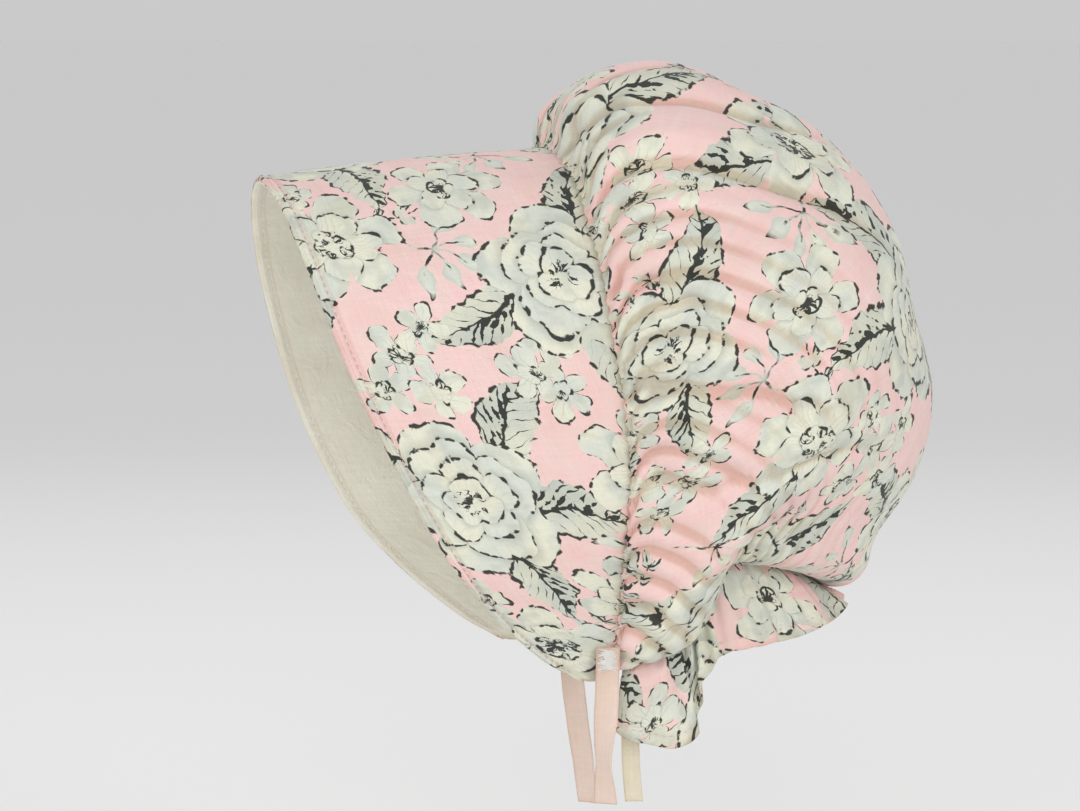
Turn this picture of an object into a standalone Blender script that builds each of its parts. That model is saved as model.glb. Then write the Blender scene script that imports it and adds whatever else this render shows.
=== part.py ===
"""A small child's sunbonnet: a stiff two-layer brim, a puffed crown gathered onto it, a neck ruffle
that hangs from the crown's casing, and three hanging ribbons.

Metres, +Z up. The bonnet faces -Y and the wearer's left is +X. The origin lies inside the top of
the crown, where the head bears. Tables are in millimetres and hold the wearer's left half: a
place across a piece runs from -1 on the right, over 0 on the centre line, to 1 on the left.
"""

from typing import Callable, NamedTuple

import bmesh
import bpy
import numpy as np

MM = 0.001

COVER_THICK = 1.2
LINING_THICK = 1.0
LAYER_GAP = 0.6
CROWN_THICK = 1.2
RUFFLE_THICK = 1.2
RIBBON_THICK = 1.0
SEAM_GAP = 1.05
SEAM_DEPTH = 0.9
CASING_DROP = 1.85
CASING_TUCK = 0.035

BRIM_COLUMNS, BRIM_ROWS = 42, 6
CROWN_COLUMNS, CROWN_ROWS = 82, 21
RUFFLE_COLUMNS, RUFFLE_ROWS = 72, 5
RIBBON_COLUMNS, RIBBON_ROWS = 1, 16
SAMPLES_PER_SPAN = 24

BRIM_BULGE = 1.0


class BrimStation(NamedTuple):
    """One line across the brim, from its front edge back to its seam with the crown."""

    front_x: float
    front_y: float
    front_z: float
    seam_x: float
    seam_y: float
    seam_z: float


BRIM_STATIONS = (
    BrimStation(0.0, -134.0, -34.6, 0.0, -34.0, -25.6),
    BrimStation(23.0, -132.0, -41.5, 26.0, -32.5, -32.5),
    BrimStation(38.5, -128.5, -56.0, 47.0, -32.0, -48.0),
    BrimStation(49.0, -124.0, -72.0, 59.5, -31.0, -65.0),
    BrimStation(57.5, -117.5, -92.0, 66.0, -28.5, -88.0),
    BrimStation(67.0, -109.0, -114.0, 68.5, -25.0, -112.0),
    BrimStation(73.0, -98.0, -137.0, 66.0, -22.8, -136.0),
    BrimStation(74.0, -84.5, -160.0, 60.0, -23.0, -160.0),
    BrimStation(66.0, -69.0, -178.0, 55.0, -23.0, -177.0),
    BrimStation(56.5, -51.0, -193.5, 51.5, -23.5, -190.0),
    BrimStation(52.5, -38.0, -201.0, 50.0, -26.5, -201.5),
)

# The crown is a fan of arches that all spring from one pivot line at the ears. It leaves the brim's
# seam within the first share of its length, and turns in to the casing between the last two.
PIVOT_Y, PIVOT_Z = -22.0, -197.0
LEAVES_SEAM = 0.30
TURNS_IN, REACHES_CASING = 0.45, 0.86
SWELL_FULLNESS = 0.8


class CrownSection(NamedTuple):
    """One arch of the crown: its top's place behind and above the pivot, and its swell sideways."""

    back: float
    up: float
    swell: float


CROWN_SECTIONS = (
    CrownSection(-12.0, 171.4, 0.0),
    CrownSection(-5.5, 186.5, 4.0),
    CrownSection(8.0, 196.0, 8.0),
    CrownSection(28.0, 199.5, 12.0),
    CrownSection(55.0, 192.0, 15.0),
    CrownSection(82.5, 176.0, 17.0),
    CrownSection(103.0, 152.0, 18.5),
    CrownSection(112.5, 122.0, 19.5),
    CrownSection(121.0, 90.0, 19.5),
    CrownSection(117.0, 60.0, 18.5),
    CrownSection(103.5, 38.0, 16.0),
    CrownSection(98.0, 22.0, 12.0),
    CrownSection(91.5, 14.5, 8.0),
    CrownSection(81.0, 16.0, 4.0),
    CrownSection(70.0, 23.0, 0.0),
)


class RuffleStation(NamedTuple):
    """One line down the neck ruffle, from the crown's casing to its hem on the left and right.

    Share is its place across, from 0 on the centre line to 1 at the ruffle's front edge.
    """

    share: float
    casing_x: float
    casing_y: float
    casing_z: float
    hem_x: float
    hem_y: float
    hem_z: float
    right_hem_y: float
    right_hem_z: float


RUFFLE_STATIONS = (
    RuffleStation(0.00, 0.0, 48.0, -174.0, 0.0, 61.0, -191.0, 61.0, -191.0),
    RuffleStation(0.12, 13.0, 46.5, -172.5, 13.0, 59.5, -190.5, 59.5, -190.5),
    RuffleStation(0.26, 26.0, 40.5, -168.5, 27.0, 55.5, -190.5, 55.5, -190.5),
    RuffleStation(0.41, 37.5, 30.0, -164.0, 41.0, 44.0, -191.5, 44.0, -191.5),
    RuffleStation(0.55, 44.5, 18.0, -161.5, 50.0, 27.0, -192.0, 27.0, -192.0),
    RuffleStation(0.67, 47.0, 9.0, -162.0, 53.0, 13.5, -194.0, 15.0, -194.0),
    RuffleStation(0.77, 48.5, 3.5, -169.0, 46.0, 8.5, -208.0, 9.0, -198.0),
    RuffleStation(0.85, 50.0, -1.0, -187.0, 54.0, 5.0, -221.0, 3.0, -203.0),
    RuffleStation(0.92, 50.5, -10.0, -194.0, 56.0, -6.0, -224.5, -6.0, -206.0),
    RuffleStation(1.00, 50.0, -20.0, -197.5, 52.5, -25.0, -217.5, -17.0, -206.0),
)


class Fold(NamedTuple):
    """A crease of the crown, with a soft ridge beside it.

    It runs from one place across the crown to another between two places along it, and bows
    towards the wearer's left on the way. Width is a share of the crown's half.
    """

    start_across: float
    end_across: float
    bow: float
    start_along: float
    end_along: float
    depth: float
    width: float


# The ridge beside a crease, as shares of the crease's depth and width.
RIDGE_HEIGHT, RIDGE_OFFSET = 0.6, 1.7

CROWN_FOLDS = (
    Fold(0.06, 0.05, 0.10, -0.02, 0.42, 3.0, 0.028),
    Fold(0.24, 0.21, 0.05, 0.00, 0.50, 3.6, 0.026),
    Fold(0.37, 0.47, 0.01, -0.02, 0.22, 2.6, 0.022),
    Fold(0.54, 0.49, 0.06, -0.02, 0.52, 3.2, 0.024),
    Fold(0.64, 0.28, 0.21, 0.00, 0.80, 3.2, 0.036),
    Fold(-0.12, -0.08, -0.06, -0.02, 0.36, 2.8, 0.028),
    Fold(-0.30, -0.24, -0.05, 0.00, 0.55, 3.4, 0.026),
    Fold(-0.50, -0.46, -0.07, -0.02, 0.48, 3.2, 0.024),
    Fold(-0.67, -0.30, -0.17, 0.02, 0.78, 3.0, 0.036),
)



class Waves(NamedTuple):
    """A row of small waves: how many on each half, how deep, and how unevenly they are spaced."""

    count: float
    depth: float
    drift: float
    drift_pace: float

    def height(self, across):
        uneven = self.drift * np.sin(self.drift_pace * across)
        return self.depth * np.sin(2.0 * np.pi * self.count * across + uneven)


SEAM_GATHERS = Waves(count=9.0, depth=1.3, drift=1.3, drift_pace=7.0)
CASING_GATHERS = Waves(count=8.0, depth=0.9, drift=0.8, drift_pace=5.0)
HEM_WAVES = Waves(count=6.0, depth=1.5, drift=1.1, drift_pace=6.0)
HEM_WAVE_GROWTH = 1.5


class RibbonPlace(NamedTuple):
    """A place on a ribbon's route, and the turn of its width from +Y towards +X in degrees."""

    x: float
    y: float
    z: float
    turn: float


OUTER_LEFT_RIBBON = (
    RibbonPlace(55.1, -27.3, -190.5, 5.0),
    RibbonPlace(55.2, -27.5, -197.0, 3.0),
    RibbonPlace(55.8, -27.8, -205.0, 6.0),
    RibbonPlace(56.2, -28.3, -213.0, 22.0),
    RibbonPlace(56.0, -28.8, -221.0, 52.0),
    RibbonPlace(55.6, -28.9, -229.0, 68.0),
    RibbonPlace(55.4, -28.5, -236.0, 52.0),
    RibbonPlace(55.3, -28.2, -243.0, 34.0),
)
INNER_LEFT_RIBBON = (
    RibbonPlace(47.4, -15.0, -192.5, 0.0),
    RibbonPlace(46.8, -15.4, -200.0, 0.0),
    RibbonPlace(46.0, -16.0, -210.0, 8.0),
    RibbonPlace(45.2, -16.6, -222.0, 14.0),
    RibbonPlace(45.0, -16.2, -234.0, 10.0),
    RibbonPlace(45.0, -15.2, -244.5, 16.0),
)
INNER_RIGHT_RIBBON = (
    RibbonPlace(-47.2, -12.5, -192.0, 0.0),
    RibbonPlace(-46.8, -12.3, -201.0, 2.0),
    RibbonPlace(-46.2, -11.8, -214.0, 8.0),
    RibbonPlace(-45.8, -10.2, -229.0, 24.0),
    RibbonPlace(-45.6, -7.8, -246.0, 38.0),
    RibbonPlace(-45.6, -5.9, -261.0, 48.0),
)


class Finish(NamedTuple):
    """A material's name, linear colour and roughness."""

    name: str
    colour: tuple
    roughness: float


PRINTED_COTTON = Finish("printed_cotton", (0.86, 0.62, 0.62), 0.85)
LINING_COTTON = Finish("lining_cotton", (0.80, 0.78, 0.66), 0.85)
PINK_RIBBON = Finish("pink_ribbon", (0.82, 0.65, 0.56), 0.6)
CREAM_RIBBON = Finish("cream_ribbon", (0.76, 0.71, 0.57), 0.6)


class SmoothTable:
    """A smooth run through a table's rows, read by the fraction of the way along it."""

    def __init__(self, rows, pace_columns, mirror=None):
        table = np.array(rows, float)
        before = table[1] * mirror if mirror is not None else 2 * table[0] - table[1]
        padded = np.vstack([before, table, 2 * table[-1] - table[-2]])
        step = np.linspace(0.0, 1.0, SAMPLES_PER_SPAN, endpoint=False)[:, None]
        spans = []
        for first, start, end, last in zip(padded, padded[1:], padded[2:], padded[3:]):
            bend = 2 * first - 5 * start + 4 * end - last
            twist = 3 * start - first - 3 * end + last
            spans.append(start + 0.5 * (step * (end - first) + step**2 * bend + step**3 * twist))
        self.samples = np.vstack(spans + [table[-1:]])
        paced = self.samples[:, list(pace_columns)]
        lengths = np.linalg.norm(np.diff(paced, axis=0), axis=1)
        self.way = np.concatenate([[0.0], np.cumsum(lengths)]) / lengths.sum()

    def at(self, fraction):
        """The table's columns at these fractions, one array for each column."""
        return [np.interp(fraction, self.way, column) for column in self.samples.T]


def ease(value, start, end):
    """0 before start, 1 after end and a smooth step between them."""
    step = np.clip((value - start) / (end - start), 0.0, 1.0)
    return step * step * (3.0 - 2.0 * step)


def unit(vectors):
    return vectors / np.maximum(np.linalg.norm(vectors, axis=-1, keepdims=True), 1e-9)


def normals_of(surface, across, along):
    """Outward unit normals of a surface, from small steps both ways."""
    step = 1e-3
    wide = surface(across + step, along) - surface(across - step, along)
    deep = surface(across, along + step) - surface(across, along - step)
    return unit(np.cross(wide, deep))


MIRROR_BRIM = np.array([-1.0, 1.0, 1.0, -1.0, 1.0, 1.0])
MIRROR_RUFFLE = np.array([-1.0, -1.0, 1.0, 1.0, -1.0, 1.0, 1.0, 1.0, 1.0])
BRIM_TABLE = SmoothTable(BRIM_STATIONS, (3, 4, 5), MIRROR_BRIM)
RUFFLE_TABLE = SmoothTable(RUFFLE_STATIONS, (0,), MIRROR_RUFFLE)
SECTION_TABLE = SmoothTable(CROWN_SECTIONS, (0, 1))


def brim_surface(across, along):
    """The brim's outer face: along is 0 at the front edge and 1 at the seam."""
    side = np.sign(across)
    front_x, front_y, front_z, seam_x, seam_y, seam_z = BRIM_TABLE.at(np.abs(across))
    front = np.stack([side * front_x, front_y, front_z], axis=-1)
    seam = np.stack([side * seam_x, seam_y, seam_z], axis=-1)
    outward = unit(np.stack([side * seam_x, 0.0 * seam_y, seam_z - PIVOT_Z / 2], axis=-1))
    bulge = BRIM_BULGE * 4.0 * along * (1.0 - along)
    return front + (seam - front) * along[..., None] + outward * bulge[..., None]


def inner_layer(surface, depth):
    """The same surface moved inwards along its normals."""

    def moved(across, along):
        return surface(across, along) - depth * normals_of(surface, across, along)

    return moved


def fan_surface(across, along):
    """The crown's plain form: along is 0 at the seam arch and 1 at the last arch of the fan."""
    side = np.sign(across)
    span = np.abs(across)
    seam_x, seam_z = BRIM_TABLE.at(span)[3], BRIM_TABLE.at(span)[5]
    back, up, swell = SECTION_TABLE.at(along)
    height = np.maximum((seam_z - PIVOT_Z) / CROWN_SECTIONS[0].up, 0.0)
    spread = np.sin(np.pi * np.minimum(span, 1.0)) ** SWELL_FULLNESS
    return np.stack(
        [side * (seam_x + swell * spread), PIVOT_Y + height * back, PIVOT_Z + height * up], axis=-1
    )


def crown_form(across, along):
    """The crown before its folds: the fan, drawn to the brim's seam and to the casing."""
    side = np.sign(across)
    span = np.abs(across)
    seam_x, seam_y, seam_z = BRIM_TABLE.at(span)[3:]
    casing_x, casing_y, casing_z = RUFFLE_TABLE.at(span)[1:4]
    seam = np.stack([side * seam_x, seam_y + SEAM_GAP, seam_z - SEAM_DEPTH], axis=-1)
    casing = np.stack([side * casing_x, casing_y, casing_z], axis=-1)
    to_seam = (1.0 - ease(along, 0.0, LEAVES_SEAM))[..., None]
    to_casing = ease(along, TURNS_IN, REACHES_CASING)[..., None]
    form = fan_surface(across, along)
    first = fan_surface(across, np.zeros_like(along))
    last = fan_surface(across, np.ones_like(along))
    return form + (seam - first) * to_seam + (casing - last) * to_casing


def fold_relief(across, along):
    """How far the folds move the crown out or in."""
    relief = np.zeros_like(along)
    for fold in CROWN_FOLDS:
        way = (along - fold.start_along) / (fold.end_along - fold.start_along)
        path = fold.start_across + (fold.end_across - fold.start_across) * way
        path = path + fold.bow * 4.0 * way * (1.0 - way)
        fade = ease(way, 0.0, 0.15) * (1.0 - ease(way, 0.65, 1.0))
        offset = (np.abs(across) - np.abs(path)) / fold.width
        same_side = across * path > 0
        ridge = RIDGE_HEIGHT * np.exp(-((offset + RIDGE_OFFSET) ** 2))
        crease = ridge - np.exp(-(offset**2))
        relief += np.where(same_side, fold.depth * fade * crease, 0.0)
    return relief


def gather_relief(across, along):
    """How far the gathers at the seam and at the casing move the crown out or in."""
    at_seam = ease(along, 0.0, 0.05) * (1.0 - ease(along, 0.08, 0.34))
    at_casing = ease(along, 0.80, 0.93) * (1.0 - ease(along, 0.94, 1.0))
    return at_seam * SEAM_GATHERS.height(across) + at_casing * CASING_GATHERS.height(across)


def crown_surface(across, along):
    """The crown's middle surface, from its seam with the brim to its casing at the neck."""
    held = ease(along, 0.0, 0.04) * (1.0 - ease(along, 0.94, 1.0))
    relief = held * (fold_relief(across, along) + gather_relief(across, along))
    return crown_form(across, along) + relief[..., None] * normals_of(crown_form, across, along)


def ruffle_form(across, along):
    """The neck ruffle before its waves: along is 0 at the casing and 1 at the hem."""
    side = np.sign(across)
    columns = RUFFLE_TABLE.at(np.abs(across))
    casing_x, casing_y, casing_z, hem_x, hem_y, hem_z, right_hem_y, right_hem_z = columns[1:]
    hem_y = np.where(across < 0, right_hem_y, hem_y)
    hem_z = np.where(across < 0, right_hem_z, hem_z)
    top_x = side * casing_x * (1.0 - CASING_TUCK)
    casing = np.stack([top_x, casing_y, casing_z - CASING_DROP], axis=-1)
    hem = np.stack([side * hem_x, hem_y, hem_z], axis=-1)
    return casing + (hem - casing) * along[..., None]


def ruffle_surface(across, along):
    """The neck ruffle's middle surface, whose waves grow from its casing to its hem."""
    relief = along**HEM_WAVE_GROWTH * HEM_WAVES.height(across)
    return ruffle_form(across, along) + relief[..., None] * normals_of(ruffle_form, across, along)


class Sheet(NamedTuple):
    """A cloth wall: its node name, surface, grid, thickness, Solidify offset and finish."""

    name: str
    surface: Callable
    columns: int
    rows: int
    thickness: float
    offset: float
    finish: Finish


def ribbon_surface(places, width):
    """A flat ribbon along its route: along is 0 at its sewn end and 1 at its free end."""
    route = SmoothTable(places, (0, 1, 2))

    def laid(across, along):
        x, y, z, turn = route.at(along)
        turn = np.radians(turn)
        half = across * width / 2.0
        return np.stack([x + half * np.sin(turn), y + half * np.cos(turn), z], axis=-1)

    return laid


OUTWARD_FACE, MIDDLE = -1.0, 0.0

SHEETS = (
    Sheet(
        "brim_cover", brim_surface, BRIM_COLUMNS, BRIM_ROWS,
        COVER_THICK, OUTWARD_FACE, PRINTED_COTTON,
    ),
    Sheet(
        "brim_lining", inner_layer(brim_surface, COVER_THICK + LAYER_GAP), BRIM_COLUMNS, BRIM_ROWS,
        LINING_THICK, OUTWARD_FACE, LINING_COTTON,
    ),
    Sheet(
        "crown", crown_surface, CROWN_COLUMNS, CROWN_ROWS,
        CROWN_THICK, MIDDLE, PRINTED_COTTON,
    ),
    Sheet(
        "neck_ruffle", ruffle_surface, RUFFLE_COLUMNS, RUFFLE_ROWS,
        RUFFLE_THICK, MIDDLE, PRINTED_COTTON,
    ),
    Sheet(
        "outer_left_ribbon", ribbon_surface(OUTER_LEFT_RIBBON, 8.0), RIBBON_COLUMNS, RIBBON_ROWS,
        RIBBON_THICK, MIDDLE, PINK_RIBBON,
    ),
    Sheet(
        "inner_left_ribbon", ribbon_surface(INNER_LEFT_RIBBON, 6.0), RIBBON_COLUMNS, RIBBON_ROWS,
        RIBBON_THICK, MIDDLE, CREAM_RIBBON,
    ),
    Sheet(
        "inner_right_ribbon", ribbon_surface(INNER_RIGHT_RIBBON, 8.0), RIBBON_COLUMNS, RIBBON_ROWS,
        RIBBON_THICK, MIDDLE, PINK_RIBBON,
    ),
)


def clear_scene():
    for obj in list(bpy.data.objects):
        bpy.data.objects.remove(obj, do_unlink=True)


def make_material(finish):
    material = bpy.data.materials.new(finish.name)
    material.use_nodes = True
    shader = material.node_tree.nodes["Principled BSDF"]
    shader.inputs["Base Color"].default_value = (*finish.colour, 1.0)
    shader.inputs["Roughness"].default_value = finish.roughness
    shader.inputs["Metallic"].default_value = 0.0
    return material


def add_sheet(sheet, collection, material):
    """A grid laid on the sheet's surface, with Solidify for its thickness."""
    grid = bmesh.new()
    bmesh.ops.create_grid(grid, x_segments=sheet.columns, y_segments=sheet.rows, size=1.0)
    places = np.array([vertex.co[:] for vertex in grid.verts])
    points = sheet.surface(places[:, 0], (places[:, 1] + 1.0) / 2.0) * MM
    for vertex, point in zip(grid.verts, points):
        vertex.co = point
    mesh = bpy.data.meshes.new(sheet.name)
    grid.to_mesh(mesh)
    grid.free()
    mesh.shade_smooth()
    mesh.materials.append(material)
    wall = bpy.data.objects.new(sheet.name, mesh)
    collection.objects.link(wall)
    thickness = wall.modifiers.new("Cloth thickness", "SOLIDIFY")
    thickness.thickness = sheet.thickness * MM
    thickness.offset = sheet.offset


def main():
    clear_scene()
    parts = bpy.data.collections.new("sunbonnet")
    bpy.context.scene.collection.children.link(parts)
    finishes = dict.fromkeys(sheet.finish for sheet in SHEETS)
    materials = {finish: make_material(finish) for finish in finishes}
    for sheet in SHEETS:
        add_sheet(sheet, parts, materials[sheet.finish])


main()
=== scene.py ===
"""The looks of a small child's sunbonnet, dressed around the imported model.

Metres, +Z up. The bonnet faces -Y and the wearer's left is +X. Tables of shape are in millimetres.
A place across a piece runs from -1 on the right, over 0 on the centre line, to 1 on the left.
"""

import logging
import math
from dataclasses import dataclass, field
from enum import Enum
from typing import Callable, NamedTuple, Sequence

import bmesh
import bpy
import numpy as np
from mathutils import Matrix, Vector, noise


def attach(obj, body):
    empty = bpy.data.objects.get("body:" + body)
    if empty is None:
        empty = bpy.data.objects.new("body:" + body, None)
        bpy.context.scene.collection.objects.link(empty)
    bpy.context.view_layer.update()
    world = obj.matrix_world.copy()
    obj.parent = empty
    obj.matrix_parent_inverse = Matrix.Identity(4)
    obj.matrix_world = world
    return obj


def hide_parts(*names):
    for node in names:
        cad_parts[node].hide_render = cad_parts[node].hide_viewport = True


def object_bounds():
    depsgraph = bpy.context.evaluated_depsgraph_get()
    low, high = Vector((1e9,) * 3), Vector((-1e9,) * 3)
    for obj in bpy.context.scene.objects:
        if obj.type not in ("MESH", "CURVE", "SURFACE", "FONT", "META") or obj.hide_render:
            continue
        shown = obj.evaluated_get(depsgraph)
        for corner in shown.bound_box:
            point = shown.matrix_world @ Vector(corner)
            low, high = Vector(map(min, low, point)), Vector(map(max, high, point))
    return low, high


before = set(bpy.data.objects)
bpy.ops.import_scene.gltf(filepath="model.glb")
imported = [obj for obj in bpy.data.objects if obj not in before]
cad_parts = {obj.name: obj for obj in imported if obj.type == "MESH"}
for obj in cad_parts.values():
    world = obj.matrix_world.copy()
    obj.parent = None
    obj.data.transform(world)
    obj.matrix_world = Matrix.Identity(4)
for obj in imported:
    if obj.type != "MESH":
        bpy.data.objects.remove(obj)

CAD_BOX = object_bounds()
MM = 0.001
BODY = "root"
SAMPLES_PER_SPAN = 24
# The crease attribute holds painted shade, the edge attribute how worn the edges are.
PRINT_MAP, PAINTED_SHADE_ATTRIBUTE, EDGE = "print", "crease", "edge"

Array = np.ndarray
Surface = Callable[[Array, Array], Array]
Socket = bpy.types.NodeSocket
Node = bpy.types.Node
Tree = bpy.types.NodeTree
Material = bpy.types.Material
Colour = tuple[float, float, float, float]

log = logging.getLogger("sunbonnet")


# Shape tables, as in the solids

class BrimStation(NamedTuple):
    """One line across the brim, from its front edge back to its seam with the crown."""

    front_x: float
    front_y: float
    front_z: float
    seam_x: float
    seam_y: float
    seam_z: float


BRIM_STATIONS = (
    BrimStation(0.0, -134.0, -34.6, 0.0, -34.0, -25.6),
    BrimStation(23.0, -132.0, -41.5, 26.0, -32.5, -32.5),
    BrimStation(38.5, -128.5, -56.0, 47.0, -32.0, -48.0),
    BrimStation(49.0, -124.0, -72.0, 59.5, -31.0, -65.0),
    BrimStation(57.5, -117.5, -92.0, 66.0, -28.5, -88.0),
    BrimStation(67.0, -109.0, -114.0, 68.5, -25.0, -112.0),
    BrimStation(73.0, -98.0, -137.0, 66.0, -22.8, -136.0),
    BrimStation(74.0, -84.5, -160.0, 60.0, -23.0, -160.0),
    BrimStation(66.0, -69.0, -178.0, 55.0, -23.0, -177.0),
    BrimStation(56.5, -51.0, -193.5, 51.5, -23.5, -190.0),
    BrimStation(52.5, -38.0, -201.0, 50.0, -26.5, -201.5),
)

PIVOT_Y, PIVOT_Z = -22.0, -197.0


class CrownSection(NamedTuple):
    """One arch of the crown: its top's place behind and above the pivot, and its swell sideways."""

    back: float
    up: float
    swell: float


CROWN_SECTIONS = (
    CrownSection(-12.0, 171.4, 0.0),
    CrownSection(-7.0, 188.0, 4.0),
    CrownSection(7.0, 198.0, 8.0),
    CrownSection(28.0, 199.8, 12.0),
    CrownSection(55.0, 190.8, 15.0),
    CrownSection(82.5, 176.0, 17.0),
    CrownSection(103.0, 152.0, 18.5),
    CrownSection(112.5, 122.0, 19.5),
    CrownSection(121.0, 90.0, 19.5),
    CrownSection(117.0, 60.0, 18.5),
    CrownSection(103.5, 38.0, 16.0),
    CrownSection(100.5, 25.5, 12.0),
    CrownSection(95.5, 19.5, 8.0),
    CrownSection(87.5, 18.5, 4.0),
    CrownSection(79.0, 23.5, 0.0),
)


class RuffleStation(NamedTuple):
    """One line down the neck ruffle, from the crown's casing to its hem on the left and right.

    Share is its place across, from 0 on the centre line to 1 at the ruffle's front edge.
    """

    share: float
    casing_x: float
    casing_y: float
    casing_z: float
    hem_x: float
    hem_y: float
    hem_z: float
    right_hem_y: float
    right_hem_z: float


RUFFLE_STATIONS = (
    RuffleStation(0.00, 0.0, 57.0, -173.5, 0.0, 71.0, -185.0, 71.0, -185.0),
    RuffleStation(0.12, 13.0, 55.0, -172.5, 13.5, 69.0, -185.0, 69.0, -185.0),
    RuffleStation(0.26, 26.0, 47.5, -168.5, 28.0, 62.0, -187.0, 62.0, -187.0),
    RuffleStation(0.41, 37.5, 35.0, -164.0, 42.0, 47.0, -190.0, 47.0, -190.0),
    RuffleStation(0.55, 44.5, 20.5, -161.5, 50.0, 27.5, -192.5, 27.5, -192.5),
    RuffleStation(0.67, 47.0, 9.0, -162.0, 52.0, 11.0, -195.5, 15.0, -194.0),
    RuffleStation(0.77, 48.5, 3.5, -169.0, 48.0, 6.0, -213.0, 9.0, -198.0),
    RuffleStation(0.85, 50.0, -1.0, -187.0, 54.0, 4.5, -223.0, 3.0, -203.0),
    RuffleStation(0.92, 50.5, -10.0, -194.0, 56.0, -6.0, -226.5, -6.0, -206.0),
    RuffleStation(1.00, 50.0, -20.0, -197.5, 52.5, -25.0, -218.5, -17.0, -206.0),
)


class Fold(NamedTuple):
    """A crease of the crown, with a soft ridge beside it.

    It runs from one place across the crown to another between two places along it, and bows
    towards the wearer's left on the way. Width is a share of the crown's half.
    """

    start_across: float
    end_across: float
    bow: float
    start_along: float
    end_along: float
    depth: float
    width: float


CROWN_FOLDS = (
    Fold(0.06, 0.05, 0.10, -0.02, 0.42, 3.0, 0.028),
    Fold(0.24, 0.21, 0.05, 0.00, 0.50, 3.6, 0.026),
    Fold(0.37, 0.47, 0.01, -0.02, 0.22, 2.6, 0.022),
    Fold(0.54, 0.49, 0.06, -0.02, 0.52, 3.2, 0.024),
    Fold(0.64, 0.28, 0.21, 0.00, 0.80, 3.2, 0.036),
    Fold(-0.12, -0.08, -0.06, -0.02, 0.36, 2.8, 0.028),
    Fold(-0.30, -0.24, -0.05, 0.00, 0.55, 3.4, 0.026),
    Fold(-0.50, -0.46, -0.07, -0.02, 0.48, 3.2, 0.024),
    Fold(-0.67, -0.30, -0.17, 0.02, 0.78, 3.0, 0.036),
)


class RibbonPlace(NamedTuple):
    """A place on a ribbon's route, and the turn of its width from +Y towards +X in degrees."""

    x: float
    y: float
    z: float
    turn: float


OUTER_LEFT_RIBBON = (
    RibbonPlace(55.1, -27.3, -190.5, 5.0),
    RibbonPlace(55.2, -27.5, -197.0, 3.0),
    RibbonPlace(55.8, -27.8, -205.0, 6.0),
    RibbonPlace(56.2, -28.3, -213.0, 22.0),
    RibbonPlace(56.0, -28.8, -221.0, 52.0),
    RibbonPlace(55.6, -28.9, -229.0, 68.0),
    RibbonPlace(55.4, -28.5, -236.0, 52.0),
    RibbonPlace(55.3, -28.2, -243.0, 34.0),
)
INNER_LEFT_RIBBON = (
    RibbonPlace(47.4, -15.0, -192.5, 0.0),
    RibbonPlace(46.8, -15.4, -200.0, 0.0),
    RibbonPlace(46.0, -16.0, -210.0, 8.0),
    RibbonPlace(45.2, -16.6, -222.0, 14.0),
    RibbonPlace(45.0, -16.2, -234.0, 10.0),
    RibbonPlace(45.0, -15.2, -244.5, 16.0),
)
INNER_RIGHT_RIBBON = (
    RibbonPlace(-47.2, -12.5, -192.0, 0.0),
    RibbonPlace(-46.8, -12.3, -201.0, 2.0),
    RibbonPlace(-46.2, -11.8, -214.0, 8.0),
    RibbonPlace(-45.8, -10.2, -229.0, 24.0),
    RibbonPlace(-45.6, -7.8, -246.0, 38.0),
    RibbonPlace(-45.6, -5.9, -261.0, 48.0),
)


# Shape helpers

def between(first: Array, start: Array, end: Array, last: Array, step: Array | float) -> Array:
    """Go a share of the way from start to end, on a smooth run through four rows of a table.

    Args:
        first: The row before the start.
        start: The row at the start.
        end: The row at the end.
        last: The row after the end.
        step: The share.

    Returns:
        The row at that place.
    """
    bend = 2 * first - 5 * start + 4 * end - last
    twist = 3 * start - first - 3 * end + last
    return start + 0.5 * (step * (end - first) + step**2 * bend + step**3 * twist)


class SmoothTable:
    """A smooth run through a table's rows, read by the fraction of the way along it."""

    def __init__(
        self, rows: Sequence[NamedTuple], pace_columns: Sequence[int], mirror: Array | None = None
    ) -> None:
        """Sample the run.

        Args:
            rows: The table.
            pace_columns: The columns whose change sets how far along a row lies.
            mirror: Signs that turn the second row into the one before the first.
        """
        table = np.array(rows, float)
        before = table[1] * mirror if mirror is not None else 2 * table[0] - table[1]
        padded = np.vstack([before, table, 2 * table[-1] - table[-2]])
        step = np.linspace(0.0, 1.0, SAMPLES_PER_SPAN, endpoint=False)[:, None]
        spans = [between(*four, step) for four in zip(padded, padded[1:], padded[2:], padded[3:])]
        self.samples = np.vstack(spans + [table[-1:]])
        paced = self.samples[:, list(pace_columns)]
        lengths = np.linalg.norm(np.diff(paced, axis=0), axis=1)
        self.way = np.concatenate([[0.0], np.cumsum(lengths)]) / lengths.sum()

    def at(self, fraction: Array) -> list[Array]:
        """Read the table.

        Args:
            fraction: Places along the run, from 0 to 1.

        Returns:
            One array for each column of the table.
        """
        return [np.interp(fraction, self.way, column) for column in self.samples.T]


MIRROR_BRIM = np.array([-1.0, 1.0, 1.0, -1.0, 1.0, 1.0])
MIRROR_RUFFLE = np.array([-1.0, -1.0, 1.0, 1.0, -1.0, 1.0, 1.0, 1.0, 1.0])
BRIM_TABLE = SmoothTable(BRIM_STATIONS, (3, 4, 5), MIRROR_BRIM)
RUFFLE_TABLE = SmoothTable(RUFFLE_STATIONS, (0,), MIRROR_RUFFLE)
SECTION_TABLE = SmoothTable(CROWN_SECTIONS, (0, 1))


def ease(value: Array, start: float, end: float) -> Array:
    """Step smoothly from 0, for values up to the start, to 1, for values from the end on."""
    step = np.clip((value - start) / (end - start), 0.0, 1.0)
    return step * step * (3.0 - 2.0 * step)


def bell(offset: Array) -> Array:
    """A smooth bump of height 1 about offset 0."""
    return np.exp(-(offset**2))


VALLEY_STEEPNESS, VALLEY_ROUNDING, VALLEY_BOTTOM = 1.5, 0.03, 0.173


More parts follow.
